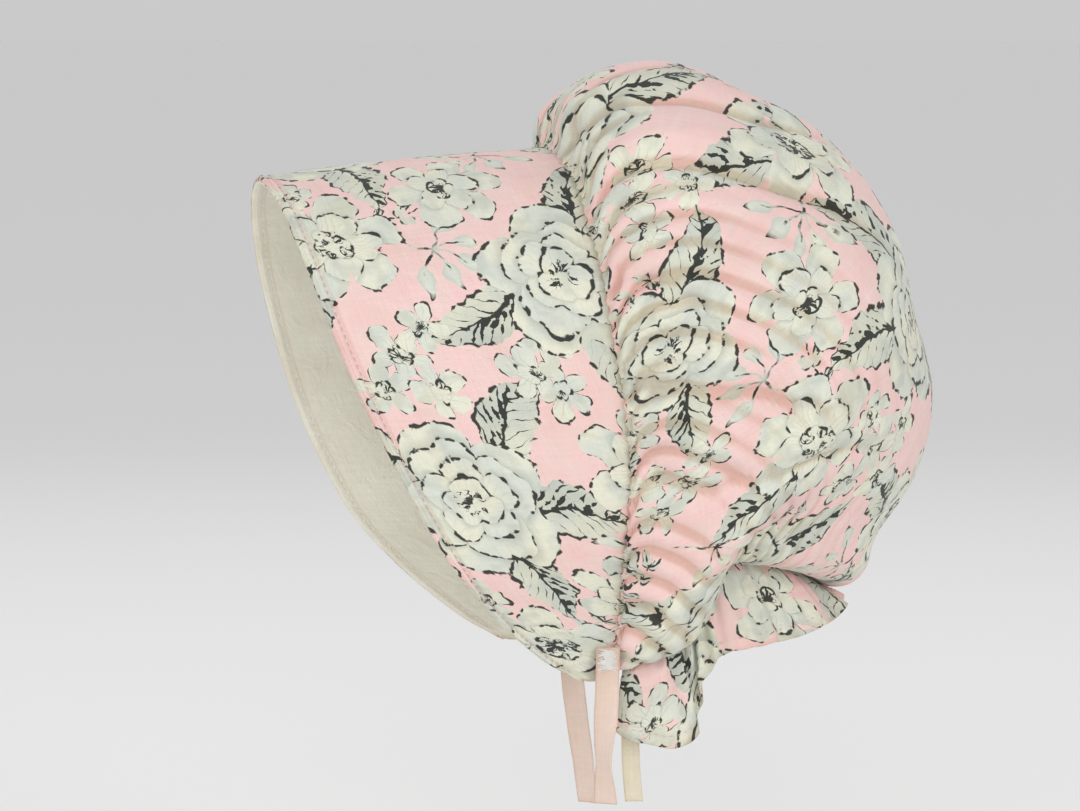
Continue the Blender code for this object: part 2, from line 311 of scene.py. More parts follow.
def valley(offset: Array) -> Array:
    """A hollow of depth 1 about offset 0, with a narrow bottom and soft shoulders."""
    return np.exp(-VALLEY_STEEPNESS * (np.sqrt(offset**2 + VALLEY_ROUNDING) - VALLEY_BOTTOM))


def unit(vectors: Array) -> Array:
    """The same vectors with length 1."""
    return vectors / np.maximum(np.linalg.norm(vectors, axis=-1, keepdims=True), 1e-9)


def on_side(side: Array, x: Array, y: Array, z: Array) -> Array:
    """Points from a table of the left half, mirrored where the side is -1."""
    return np.stack([side * x, y, z], axis=-1)


def normals_of(surface: Surface, across: Array, along: Array) -> Array:
    """Work out a surface's outward normals from small steps both ways.

    Args:
        surface: The surface.
        across: Places across it.
        along: Places along it.

    Returns:
        A unit normal for each place.
    """
    step = 1e-3
    wide = surface(across + step, along) - surface(across - step, along)
    deep = surface(across, along + step) - surface(across, along - step)
    return unit(np.cross(wide, deep))


def grid_normals(points: Array) -> Array:
    """The outward unit normals of a grid of points, rows along it and columns across it."""
    return unit(np.cross(np.gradient(points, axis=1), np.gradient(points, axis=0)))


def hollows(points: Array, out: Array, reach: int) -> Array:
    """Measure how far each point of a cloth lies below its neighbours on either side.

    Args:
        points: The grid in millimetres.
        out: Its outward normals.
        reach: How many columns away the neighbours are.

    Returns:
        The depth in millimetres, 0 where the cloth is flat or stands proud.
    """
    padded = np.pad(points, ((0, 0), (reach, reach), (0, 0)), mode="edge")
    middle = (padded[:, : -2 * reach] + padded[:, 2 * reach :]) / 2.0
    return np.maximum(((middle - points) * out).sum(axis=-1), 0.0)


class Lumps(NamedTuple):
    """One size of unevenness: its height and its wavelength in millimetres, and its own shift."""

    height: float
    wavelength: float
    shift: float


def uneven(points: Array, *sizes: Lumps) -> Array:
    """Read the smooth unevenness of a cloth.

    Args:
        points: Places in millimetres, in rows of three.
        sizes: The sizes of its lumps.

    Returns:
        The lift at each point, in the unit of the heights.
    """
    lift = 0.0
    for lumps in sizes:
        scaled = points.reshape(-1, 3) / lumps.wavelength + lumps.shift
        values = [noise.noise(Vector(place)) for place in scaled.tolist()]
        lift = lift + lumps.height * np.array(values).reshape(points.shape[:-1])
    return lift


# Cloth as meshes

@dataclass
class ClothGrid:
    """A piece of cloth laid out as a grid of points, rows along it and columns across it."""

    name: str
    points: Array
    print_places: Array
    thickness: float
    side: float
    # Painted shade: how much darker each point is painted, in folds, at seams and below overlaps.
    painted_shade: Array
    edges: Array | None = None

    def mesh(self) -> bpy.types.Mesh:
        """Make the grid's mesh, with its print map, its painted shade and how worn its edges are.

        Returns:
            The mesh, in metres.
        """
        rows, columns = self.points.shape[:2]
        index = np.arange(rows * columns).reshape(rows, columns)
        corners = [index[:-1, :-1], index[:-1, 1:], index[1:, 1:], index[1:, :-1]]
        faces = np.stack(corners, axis=-1).reshape(-1, 4)
        mesh = bpy.data.meshes.new(self.name)
        mesh.from_pydata((self.points.reshape(-1, 3) * MM).tolist(), [], faces.tolist())
        layer = mesh.uv_layers.new(name=PRINT_MAP)
        layer.data.foreach_set("uv", self.print_places.reshape(-1, 2)[faces.ravel()].ravel())
        # Stores the painted shade, and how worn the edges are, as point attributes.
        for label, values in ((PAINTED_SHADE_ATTRIBUTE, self.painted_shade), (EDGE, self.edges)):
            shade_and_wear = mesh.attributes.new(label, "FLOAT", "POINT")
            if values is not None:
                shade_and_wear.data.foreach_set("value", values.ravel().astype(np.float32))
        mesh.shade_smooth()
        return mesh

    def build(self, materials: Sequence[Material]) -> bpy.types.Object:
        """Make the piece.

        Args:
            materials: The finish of its right side, and of its wrong side where there is a second.

        Returns:
            The piece, with a thickness modifier.
        """
        piece = bpy.data.objects.new(self.name, self.mesh())
        bpy.context.scene.collection.objects.link(piece)
        for material in materials:
            piece.data.materials.append(material)
        wall = piece.modifiers.new("Cloth thickness", "SOLIDIFY")
        wall.thickness = self.thickness * MM
        wall.offset = self.side
        if len(materials) > 1:
            wall.material_offset = 1
        return piece


def thread_lengths(points: Array) -> tuple[Array, Array]:
    """The lengths from point to point of a grid, across it and along it."""
    across, along = (np.linalg.norm(np.diff(points, axis=axis), axis=-1) for axis in (1, 0))
    return across, along


def way_down(deep: Array) -> Array:
    """How far each point of a grid lies from its first row, from the lengths along it."""
    return np.vstack([np.zeros(deep.shape[1]), np.cumsum(deep, axis=0)])


def flat_places(points: Array) -> Array:
    """Lay a grid of points out flat by its own lengths.

    Args:
        points: The grid in millimetres, rows along the cloth and columns across it.

    Returns:
        Places on the flat cloth in metres, with the grid's middle column at 0.
    """
    wide, deep = thread_lengths(points)
    across = np.concatenate([[0.0], np.cumsum(wide.mean(axis=0))])
    along = way_down(deep)
    across = across - across[len(across) // 2]
    return np.stack([np.broadcast_to(across, along.shape), along], axis=-1) * MM


def flat_size(points: Array) -> tuple[float, float, float]:
    """Measure a piece of cloth laid flat.

    Args:
        points: Its grid in millimetres.

    Returns:
        Its greatest width and length in metres, and its area in square metres.
    """
    wide, deep = thread_lengths(points)
    corner = np.cross(points[1:, :-1] - points[:-1, :-1], points[:-1, 1:] - points[:-1, :-1])
    other = np.cross(points[1:, :-1] - points[1:, 1:], points[:-1, 1:] - points[1:, 1:])
    doubled = np.linalg.norm(corner, axis=-1).sum() + np.linalg.norm(other, axis=-1).sum()
    width, length = wide.sum(axis=1).max() * MM, deep.sum(axis=0).max() * MM
    return round(width, 3), round(length, 3), round(0.5 * doubled * MM * MM, 5)


# Stitches

STITCH_RINGS, STITCH_SIDES = 5, 6
STITCH_ARCH, STITCH_SINK, STITCH_TIP = 0.62, 0.32, 0.45


class Stitches(NamedTuple):
    """A row of stitches: where each comes up and goes down, and the cloth's normals there."""

    starts: Array
    ends: Array
    ups: Array


def stitch_line(points: Array, ups: Array, pitch: float, stitch: float) -> Stitches:
    """Space stitches evenly along a line on a cloth.

    Args:
        points: Places along the line, close together.
        ups: The cloth's outward normals there.
        pitch: From one stitch to the next, in millimetres.
        stitch: A stitch's length in millimetres.

    Returns:
        The stitches.
    """
    way = np.concatenate([[0.0], np.cumsum(np.linalg.norm(np.diff(points, axis=0), axis=1))])
    begins = np.arange(pitch / 2.0, way[-1] - pitch, pitch)

    def read(values: Array, places: Array) -> Array:
        """Read the line's values at some lengths along it."""
        return np.stack([np.interp(places, way, column) for column in values.T], axis=-1)

    middle_ups = unit(read(ups, begins + stitch / 2.0))
    return Stitches(read(points, begins), read(points, begins + stitch), middle_ups)


def thread_mesh(name: str, row: Stitches, width: float) -> bpy.types.Mesh:
    """Make a row of stitches, each a short thread that arches between its two holes.

    Args:
        name: The mesh's name.
        row: The stitches, in millimetres.
        width: The thread's diameter in millimetres.

    Returns:
        The mesh, in metres, of one closed body for each stitch.
    """
    forward = unit(row.ends - row.starts)
    sideways = unit(np.cross(row.ups, forward))
    places = []
    for share in np.linspace(0.0, 1.0, STITCH_RINGS):
        arch = math.sin(math.pi * share)
        lift = row.ups * width * (STITCH_ARCH * arch - STITCH_SINK)
        middle = row.starts + (row.ends - row.starts) * share + lift
        radius = width / 2.0 * (STITCH_TIP + (1.0 - STITCH_TIP) * arch)
        for angle in np.linspace(0.0, 2.0 * math.pi, STITCH_SIDES, endpoint=False):
            places.append(middle + radius * (math.cos(angle) * sideways + math.sin(angle) * row.ups))
    made = bmesh.new()
    for stitch in np.stack(places, axis=1):
        corners = [made.verts.new(place * MM) for place in stitch]
        rings = [corners[first : first + STITCH_SIDES] for first in range(0, len(corners), STITCH_SIDES)]
        for ring, beyond in zip(rings, rings[1:]):
            for side in range(STITCH_SIDES):
                beside = (side + 1) % STITCH_SIDES
                made.faces.new([ring[side], ring[beside], beyond[beside], beyond[side]])
        made.faces.new(rings[0][::-1])
        made.faces.new(rings[-1])
    mesh = bpy.data.meshes.new(name)
    made.to_mesh(mesh)
    made.free()
    mesh.shade_smooth()
    return mesh


# Studio

class Lamp(NamedTuple):
    """A square soft light: its name, place from the aim point, side in metres and power in watts."""

    name: str
    x: float
    y: float
    z: float
    size: float
    power: float


LAMPS = (
    Lamp("key", 2.6, -0.9, 1.0, 1.5, 4.6),
    Lamp("front_fill", 1.4, -2.4, 0.65, 1.4, 3.5),
    Lamp("side_fill", 2.2, 1.6, 0.65, 1.4, 3.7),
    Lamp("back_fill", -1.6, 0.4, 1.4, 1.6, 2.4),
)


@dataclass
class Studio:
    """The floor, the soft lights and the camera at the photograph's angle."""

    azimuth: float = 75.0
    elevation: float = 5.0
    distance: float = 1.5
    aim: tuple[float, float, float] = (0.0, -0.036, -0.114)
    view_width: float = 0.3704
    sensor: float = 36.0
    floor_drop: float = 0.05
    floor_radius: float = 80.0
    floor_sides: int = 96
    floor_colour: Colour = (0.98, 0.98, 0.98, 1.0)
    floor_roughness: float = 0.9
    spread: float = 90.0
    sky_colour: Colour = (0.78, 0.78, 0.78, 1.0)
    sky_strength: float = 0.76

    def back(self) -> Vector:
        """Work out where the camera stands.

        Returns:
            The direction from the aim point to the camera.
        """
        turn, lift = math.radians(self.azimuth), math.radians(self.elevation)
        flat = math.cos(lift)
        return Vector((math.sin(turn) * flat, -math.cos(turn) * flat, math.sin(lift)))

    def camera(self) -> None:
        """Set up the camera."""
        data = bpy.data.cameras.new("camera")
        data.sensor_width = self.sensor
        data.lens = self.sensor * self.distance / self.view_width
        camera = bpy.data.objects.new("camera", data)
        camera.location = Vector(self.aim) + self.back() * self.distance
        camera.rotation_euler = self.back().to_track_quat("Z", "Y").to_euler()
        bpy.context.scene.collection.objects.link(camera)
        bpy.context.scene.camera = camera

    def floor(self) -> None:
        """Lay a plain pale floor below the bonnet."""
        bpy.ops.mesh.primitive_circle_add(
            vertices=self.floor_sides, radius=self.floor_radius, fill_type="NGON",
            location=(0.0, 0.0, CAD_BOX[0][2] - self.floor_drop),
        )
        floor = bpy.context.object
        floor.name = "floor"
        material = bpy.data.materials.new("floor")
        material.use_nodes = True
        shader = material.node_tree.nodes["Principled BSDF"]
        shader.inputs["Base Color"].default_value = self.floor_colour
        shader.inputs["Roughness"].default_value = self.floor_roughness
        floor.data.materials.append(material)

    def light(self, lamp: Lamp) -> None:
        """Hang one soft light that faces the bonnet.

        Args:
            lamp: The light.
        """
        data = bpy.data.lights.new(lamp.name, "AREA")
        data.size = lamp.size
        data.energy = lamp.power
        data.spread = math.radians(self.spread)
        place = Vector((lamp.x, lamp.y, lamp.z))
        hung = bpy.data.objects.new(lamp.name, data)
        hung.location = Vector(self.aim) + place
        hung.rotation_euler = place.to_track_quat("Z", "Y").to_euler()
        bpy.context.scene.collection.objects.link(hung)

    def build(self) -> None:
        """Set up camera, floor, lights and surroundings."""
        self.camera()
        self.floor()
        for lamp in LAMPS:
            self.light(lamp)
        world = bpy.data.worlds.new("studio")
        world.use_nodes = True
        sky = world.node_tree.nodes["Background"]
        sky.inputs["Color"].default_value = self.sky_colour
        sky.inputs["Strength"].default_value = self.sky_strength
        bpy.context.scene.world = world
        bpy.context.scene.view_settings.view_transform = "Standard"


# Shader building

class MixKind(Enum):
    """What a mix node mixes, and the word that names its sockets."""

    RGBA = "Color"
    FLOAT = "Float"
    VECTOR = "Vector"


class Value:
    """What a node puts out. Plain sums and comparisons with it add nodes, and a mask is 1 inside."""

    def __init__(self, canvas: "Canvas", socket: Socket) -> None:
        """Note the output and its canvas."""
        self.canvas = canvas
        self.socket = socket

    def __add__(self, other: object) -> "Value":
        """Add another number."""
        return self.canvas.math("ADD", self, other)

    def __sub__(self, other: object) -> "Value":
        """Take another number away."""
        return self.canvas.math("SUBTRACT", self, other)

    def __rsub__(self, other: float) -> "Value":
        """Take this number away from a plain one. What it leaves of 1 turns a mask round."""
        return self.canvas.math("SUBTRACT", other, self)

    def __mul__(self, other: object) -> "Value":
        """Multiply by another number."""
        return self.canvas.math("MULTIPLY", self, other)

    def __truediv__(self, other: object) -> "Value":
        """Divide by another number."""
        return self.canvas.math("DIVIDE", self, other)

    def __rtruediv__(self, other: float) -> "Value":
        """Divide a plain number by this one."""
        return self.canvas.math("DIVIDE", other, self)

    def __pow__(self, power: float) -> "Value":
        """Raise to a power."""
        return self.canvas.math("POWER", self, power)

    def __abs__(self) -> "Value":
        """Leave out the sign."""
        return self.canvas.math("ABSOLUTE", self)

    def __lt__(self, limit: object) -> "Value":
        """A mask of where this is less than the limit."""
        return self.canvas.math("LESS_THAN", self, limit)

    def __gt__(self, limit: object) -> "Value":
        """A mask of where this is greater than the limit."""
        return self.canvas.math("GREATER_THAN", self, limit)

    def most(self, other: object) -> "Value":
        """The greater of two numbers, which joins two masks."""
        return self.canvas.math("MAXIMUM", self, other)

    def least(self, other: object) -> "Value":
        """The smaller of two numbers."""
        return self.canvas.math("MINIMUM", self, other)

    def line(self, gain: object, start: object) -> "Value":
        """Multiply by a gain and add a start."""
        return self.canvas.math("MULTIPLY_ADD", self, gain, start)

    def held(self) -> "Value":
        """Hold this sum's result between 0 and 1."""
        self.socket.node.use_clamp = True
        return self

    def ramp(self, low: float, high: float) -> "Value":
        """Step straight from 0 at low to 1 at high, held at both ends."""
        gain = 1.0 / (high - low)
        return self.line(gain, -low * gain).held()

    def zigzag(self) -> "Value":
        """Run evenly from 0 at each whole number to a half midway between two of them."""
        return self.canvas.math("PINGPONG", self, 0.5)

    def fraction(self) -> "Value":
        """What is left over a whole number."""
        return self.canvas.math("FRACT", self)

    def inked_rim(self, strokes: "Value", fineness: float, gain: float) -> "Value":
        """Ink a broken line where this share is near 1."""
        return ((strokes - abs(self - 1.0) * fineness).held() * gain).held()

    def length(self) -> "Value":
        """The length of a vector."""
        return self.canvas.vector("LENGTH", self)

    def scaled(self, factor: object) -> "Value":
        """Make a vector longer or shorter."""
        return self.canvas.node("VectorMath", {"Vector": self, "Scale": factor}, operation="SCALE")["Vector"]

    def split(self) -> tuple["Value", "Value"]:
        """The first two numbers of a vector."""
        parts = self.canvas.node("SeparateXYZ", {"Vector": self})
        return parts["X"], parts["Y"]


class Canvas:
    """Adds nodes to one node tree and joins them."""

    def __init__(self, tree: Tree) -> None:
        """Work on this tree."""
        self.tree = tree

    def new(self, kind: str, *values: object, **settings: object) -> Node:
        """Add a bare node.

        Args:
            kind: Its Blender type, without the word ShaderNode.
            values: What its first inputs get, in their order.
            settings: Its own properties.

        Returns:
            The node.
        """
        made = self.tree.nodes.new("ShaderNode" + kind)
        for key, setting in settings.items():
            setattr(made, key, setting)
        for socket, value in zip(made.inputs, values):
            self.put(socket, value)
        return made

    def put(self, socket: Socket, value: object) -> None:
        """Feed an input from another node, or set it.

        Args:
            socket: The input.
            value: A Value, or what the input's own field holds.
        """
        if isinstance(value, Value):
            self.tree.links.new(value.socket, socket)
        else:
            socket.default_value = value

    def node(
        self, kind: str, values: dict[str, object] | None = None, **settings: object
    ) -> dict[str, Value]:
        """Add a node.

        Args:
            kind: Its Blender type, without the word ShaderNode.
            values: What its inputs get, by name.
            settings: Its own properties.

        Returns:
            What it puts out, by name.
        """
        made = self.new(kind, **settings)
        self.give(made, values or {})
        return {socket.name: Value(self, socket) for socket in made.outputs}

    def math(self, operation: str, *values: object) -> Value:
        """Work a sum out from numbers."""
        return Value(self, self.new("Math", *values, operation=operation).outputs[0])

    def vector(self, operation: str, *values: object) -> Value:
        """Work a vector out from vectors, or a length."""
        made = self.new("VectorMath", *values, operation=operation)
        return Value(self, made.outputs["Value" if operation == "LENGTH" else "Vector"])

    def clouds(self, place: Value, scale: float, detail: float, **more: float) -> dict[str, Value]:
        """Add smooth noise over the flat cloth."""
        values = {"Vector": place, "Scale": scale, "Detail": detail, **more}
        return self.node("TexNoise", values, noise_dimensions="2D")

    def mixed(self, kind: MixKind, values: Sequence[object], **settings: object) -> Value:
        """Add a mix node.

        Args:
            kind: What it mixes.
            values: The factor, the first thing and the second.
            settings: The node's other properties.

        Returns:
            The mixture.
        """
        made = self.new("Mix", data_type=kind.name, **settings)
        for key, value in zip(("Factor_Float", f"A_{kind.value}", f"B_{kind.value}"), values):
            self.put(next(socket for socket in made.inputs if socket.identifier == key), value)
        result = f"Result_{kind.value}"
        return Value(self, next(socket for socket in made.outputs if socket.identifier == result))

    def mix(self, factor: object, first: object, second: object, blend: str = "MIX") -> Value:
        """Mix two colours."""
        return self.mixed(MixKind.RGBA, (factor, first, second), blend_type=blend)

    def blend(self, factor: object, first: object, second: object) -> Value:
        """Mix two numbers."""
        return self.mixed(MixKind.FLOAT, (factor, first, second))

    def choose(self, factor: object, first: object, second: object) -> Value:
        """Mix two vectors."""
        return self.mixed(MixKind.VECTOR, (factor, first, second))

    def group(self, tree: Tree, values: dict[str, object]) -> dict[str, Value]:
        """Place a node group and feed its inputs by name."""
        return self.node("Group", values, node_tree=tree)

    def give(self, out: Node, values: dict[str, object]) -> Tree:
        """Feed a node's inputs by name.

        Args:
            out: The node.
            values: What its inputs get.

        Returns:
            The canvas's tree.
        """
        for key, value in values.items():
            self.put(out.inputs[key], value)
        return self.tree


def new_group(
    name: str, inputs: dict[str, object], outputs: Sequence[str]
) -> tuple[Canvas, dict[str, Value], Node]:
    """Start a shader node group.

    Args:
        name: The effect's name.
        inputs: Its inputs and their usual values: a number, three for a vector, four for a colour.
        outputs: Its outputs, which are colours where their name ends in "colour" and numbers
            otherwise.

    Returns:
        The group's canvas, its inputs by name, and its output node.
    """
    tree = bpy.data.node_groups.new(name, "ShaderNodeTree")
    for label, value in inputs.items():
        size = len(value) if isinstance(value, tuple) else 1
        kind = {1: "NodeSocketFloat", 3: "NodeSocketVector", 4: "NodeSocketColor"}[size]
        tree.interface.new_socket(label, in_out="INPUT", socket_type=kind).default_value = value
    for label in outputs:
        kind = "NodeSocketColor" if label.endswith("colour") else "NodeSocketFloat"
        tree.interface.new_socket(label, in_out="OUTPUT", socket_type=kind)
    canvas = Canvas(tree)
    entry = tree.nodes.new("NodeGroupInput")
    given = {socket.name: Value(canvas, socket) for socket in entry.outputs if socket.name}
    return canvas, given, tree.nodes.new("NodeGroupOutput")


# Floral print

class Layer(Enum):
    """The kinds of motif, from the one printed first to the one printed over all others."""

    SPRIG = "sprig"
    BUDS = "buds"
    LEAF = "leaf"
    BLOSSOM = "blossom"
    OPEN_FLOWER = "open flower"
    ROSE = "rose"


class Motif(NamedTuple):
    """One motif of the repeat: its middle, half length in millimetres and turn in degrees."""

    across: float
    along: float
    size: float
    turn: float


REPEAT_WIDE, REPEAT_LONG = 158.0, 135.0

MOTIFS = {
    Layer.ROSE: (
        Motif(38.0, 41.0, 28.6, 20.0), Motif(121.0, 103.0, 27.5, 150.0),
    ),
    Layer.OPEN_FLOWER: (
        Motif(101.0, 32.0, 23.5, 70.0), Motif(31.0, 106.0, 23.5, 200.0), Motif(81.0, 76.0, 19.4, 310.0),
    ),
    Layer.LEAF: (
        Motif(70.0, 49.0, 20.4, 12.0), Motif(45.0, 76.0, 21.4, 78.0), Motif(10.0, 67.0, 20.4, 140.0),
        Motif(15.0, 11.0, 19.4, 238.0), Motif(92.0, 117.0, 21.4, 165.0), Motif(133.0, 68.0, 20.4, 290.0),
        Motif(151.0, 108.0, 19.4, 8.0), Motif(123.0, 16.0, 19.4, 335.0), Motif(56.0, 121.0, 17.3, 42.0),
    ),
    Layer.BLOSSOM: (
        Motif(72.0, 11.0, 10.8, 0.0), Motif(85.0, 2.0, 9.7, 40.0), Motif(65.0, 131.0, 9.7, 80.0),
        Motif(58.0, 13.0, 9.7, 15.0), Motif(76.0, 25.0, 8.6, 60.0), Motif(144.0, 40.0, 10.8, 30.0),
        Motif(156.0, 30.0, 9.7, 0.0), Motif(135.0, 50.0, 9.2, 50.0), Motif(157.0, 48.0, 9.7, 20.0),
        Motif(2.0, 88.0, 10.3, 10.0), Motif(153.0, 79.0, 9.7, 70.0), Motif(142.0, 88.0, 8.6, 30.0),
    ),
    Layer.BUDS: (
        Motif(108.0, 63.0, 19.4, 60.0), Motif(58.0, 95.0, 20.4, 340.0), Motif(137.0, 5.0, 18.4, 200.0),
    ),
    Layer.SPRIG: (
        Motif(95.0, 54.0, 17.3, 110.0), Motif(7.0, 126.0, 18.4, 120.0), Motif(110.0, 131.0, 15.3, 15.0),
    ),
}

MOTIF_INPUTS = {"Place": (0.0, 0.0, 0.0), "Strokes": 0.5, "Wash": 0.5}
MOTIF_OUTPUTS = ("Mask", "Shade", "Ink")


class PetalRing(NamedTuple):
    """A ring of petals: how many, its turn as a share of one petal, its reach and its notches."""

    petals: int
    turn: float
    reach: float
    notch: float


@dataclass(frozen=True)
class PetalDrawing:
    """How every ring of petals is drawn. Widths are shares of the flower's half length."""

    roundness: float = 2.6
    rim: float = 0.031
    rim_gain: float = 2.4
    edge: float = 0.006
    cast_fade: float = 5.0
    cleft_start: float = 0.80

    def group(self) -> Tree:
        """Build the effect that measures one ring of petals.

        Returns:
            The group. Inside is the ring's mask, Rim the line along its edge, Cast the shade that
            it throws outwards, and Cleft the shade between two petals.
        """
        canvas, given, out = new_group(
            "Petal ring",
            {
                "Out": 0.0, "Round": 0.0, "Petals": 5.0, "Turn": 0.0, "Reach": 1.0, "Notch": 0.3,
                "Strokes": 0.5, "Bold": 1.0,
            },
            ("Inside", "Rim", "Cast", "Cleft"),
        )
        gap = given["Round"].line(given["Petals"], given["Turn"]).zigzag().line(-2.0, 1.0)
        dip = gap**self.roundness * given["Notch"]
        past = given["Out"] / ((1.0 - dip) * given["Reach"]) - 1.0
        outside = past.ramp(-self.edge, self.edge)
        reach = given["Bold"] * self.rim / given["Reach"]
        rim = (given["Strokes"] - abs(past) / reach).held()
        return canvas.give(out, {
            "Inside": 1.0 - outside,
            "Rim": (rim * self.rim_gain).held(),
            "Cast": past.line(-self.cast_fade, 1.0).held() * outside,
            "Cleft": gap.ramp(self.cleft_start, 1.0),
        })


@dataclass(frozen=True)
class FlowerMotif:
    """A flower drawn as rings of petals, the outermost first, with inked rims and washed shade."""

    layer: Layer
    rings: tuple[PetalRing, ...]
    veins: float
    vein_strength: float
    heart: float
    bold: float
    spokes: float = 11.0
    outer_cleft: float = 0.8
    inner_cleft: float = 0.7
    wash: float = 0.55

    def group(self, ring: Tree) -> Tree:
        """Build the motif's node group.

        Args:
            ring: The effect that measures one ring of petals.

        Returns:
            The group, which puts out the flower's mask, shade and ink.
        """
        canvas, given, out = new_group(f"Motif {self.layer.value}", MOTIF_INPUTS, MOTIF_OUTPUTS)
        x, y = given["Place"].split()
        around = canvas.math("ARCTAN2", y, x) / (2.0 * math.pi)
        distance = given["Place"].length()
        mask = ink = shade = None
        within = 1.0
        for shape in self.rings:
            made = canvas.group(ring, {
                "Out": distance, "Round": around, "Petals": float(shape.petals), "Turn": shape.turn,
                "Reach": shape.reach, "Notch": shape.notch, "Strokes": given["Strokes"],
                "Bold": self.bold,
            })
            inside, rim = made["Inside"], made["Rim"]
            cleft = made["Cleft"] * inside
            if mask is None:
                mask, ink, shade = inside, rim, cleft * self.outer_cleft
            else:
                outside = 1.0 - inside
                shade = (shade * outside).most(made["Cast"] * within).most(cleft * self.inner_cleft)
                ink = (ink * outside).most(rim)
            within = inside
        veins = around.line(self.veins, given["Wash"]).zigzag().ramp(0.14, 0.02)
        veins = veins * (distance.ramp(0.95, 0.35) * self.vein_strength)
        wash = given["Wash"].ramp(0.50, 0.66) * self.wash
        star = around.line(self.spokes, given["Strokes"]).zigzag()
        star_reach = star.line(self.heart * 1.5, self.heart * 0.25)
        heart = (distance < star_reach) * given["Strokes"].ramp(0.25, 0.55)
        return canvas.give(
            out, {"Mask": mask, "Shade": shade.most(veins).most(wash), "Ink": ink.most(heart)}
        )


@dataclass(frozen=True)
class LeafMotif:
    """The big leaf: a bent blade with a midrib, side veins and one half inked more than the other."""

    camber: float = 0.22
    drop: float = 0.08
    width: float = 0.44
    taper: float = 0.16
    teeth: float = 4.5
    tooth_depth: float = 0.07
    margin: float = 0.02
    end: float = 0.985
    vein_pace: float = 4.6
    vein_slant: float = 5.5
    light_hatch: float = 0.14
    heavy_hatch: float = 0.60
    midrib: float = 0.026
    midrib_taper: float = 0.020
    rim_fineness: float = 8.0
    rim_gain: float = 2.4

    def group(self) -> Tree:
        """Build the motif's node group.

        Returns:
            The group, which puts out the leaf's mask, shade and ink.
        """
        canvas, given, out = new_group("Motif leaf", MOTIF_INPUTS, MOTIF_OUTPUTS)
        strokes = given["Strokes"]
        x, y = given["Place"].split()
        square = x * x
        bent = y + square.line(self.camber, -self.drop)
        side = abs(bent)
        blade = (1.0 - square) * x.line(-self.taper, self.width)
        edge = (x * self.teeth).zigzag().line(self.tooth_depth, blade - self.margin)
        share = side / edge.most(0.001)
        within = abs(x) < self.end
        mask = share.ramp(1.02, 0.98) * within
        vein = side.line(-self.vein_slant, x * self.vein_pace).zigzag()
        half = bent > 0.0
        hatching = canvas.blend(half, self.light_hatch, self.heavy_hatch)
        thick = hatching * ((1.0 - share).held() * strokes)
        hatch = (thick - vein).ramp(-0.02, 0.02) * mask
        heavy = x.line(-self.midrib_taper, self.midrib) * strokes.line(0.8, 0.5)
        midrib = (side - heavy).ramp(0.012, 0.0)
        rim = share.inked_rim(strokes, self.rim_fineness, self.rim_gain)
        ink = hatch.most(midrib).most(rim)
        shade = (vein.ramp(0.22, 0.0) * 0.6).most(given["Wash"].line(0.9, half * 0.25))
        return canvas.give(out, {"Mask": mask, "Shade": shade.least(1.0), "Ink": ink * within})


@dataclass(frozen=True)
class SprigMotif:
    """The sprig: a thin stem with small leaves in pairs and one at its tip."""

    camber: float = 0.30
    drop: float = 0.10
    pitch: float = 0.52
    lean: float = 52.0
    slope: float = 0.62
    leaf_reach: float = 0.34
    leaf_growth: float = 0.26
    leaf_width: float = 0.42
    end: float = 0.95
    stem: float = 0.022
    rib: float = 0.03
    rim_fineness: float = 3.0
    rim_gain: float = 1.6

    def group(self) -> Tree:
        """Build the motif's node group.

        Returns:
            The group, which puts out the sprig's mask, shade and ink.
        """
        canvas, given, out = new_group("Motif sprig", MOTIF_INPUTS, MOTIF_OUTPUTS)
        strokes = given["Strokes"]
        x, y = given["Place"].split()
        side = abs(y + (x * x).line(self.camber, -self.drop))
        lean = math.sin(math.radians(self.lean))
        pair = (side.line(-self.slope, x) / self.pitch).fraction()
        across = abs(pair.line(self.pitch, -self.pitch / 2.0) * lean)
        reach = x.ramp(1.0, -1.0).line(self.leaf_growth, self.leaf_reach)
        way = side / lean / reach
        belly = way * (1.0 - way) * self.leaf_width
        share = across / belly.most(0.0005)
        within = abs(x) < self.end
        leaf = share.ramp(1.1, 0.95) * within
        stem = (side < self.stem) * within
        rib = (across < strokes * self.rib) * leaf
        rim = share.inked_rim(strokes, self.rim_fineness, self.rim_gain) * within * (way < 1.0)
        return canvas.give(out, {
            "Mask": leaf.most(stem),
            "Shade": given["Wash"].line(1.1, way * -0.2),
            "Ink": rib.most(rim).most(stem * strokes.ramp(0.30, 0.45)),
        })


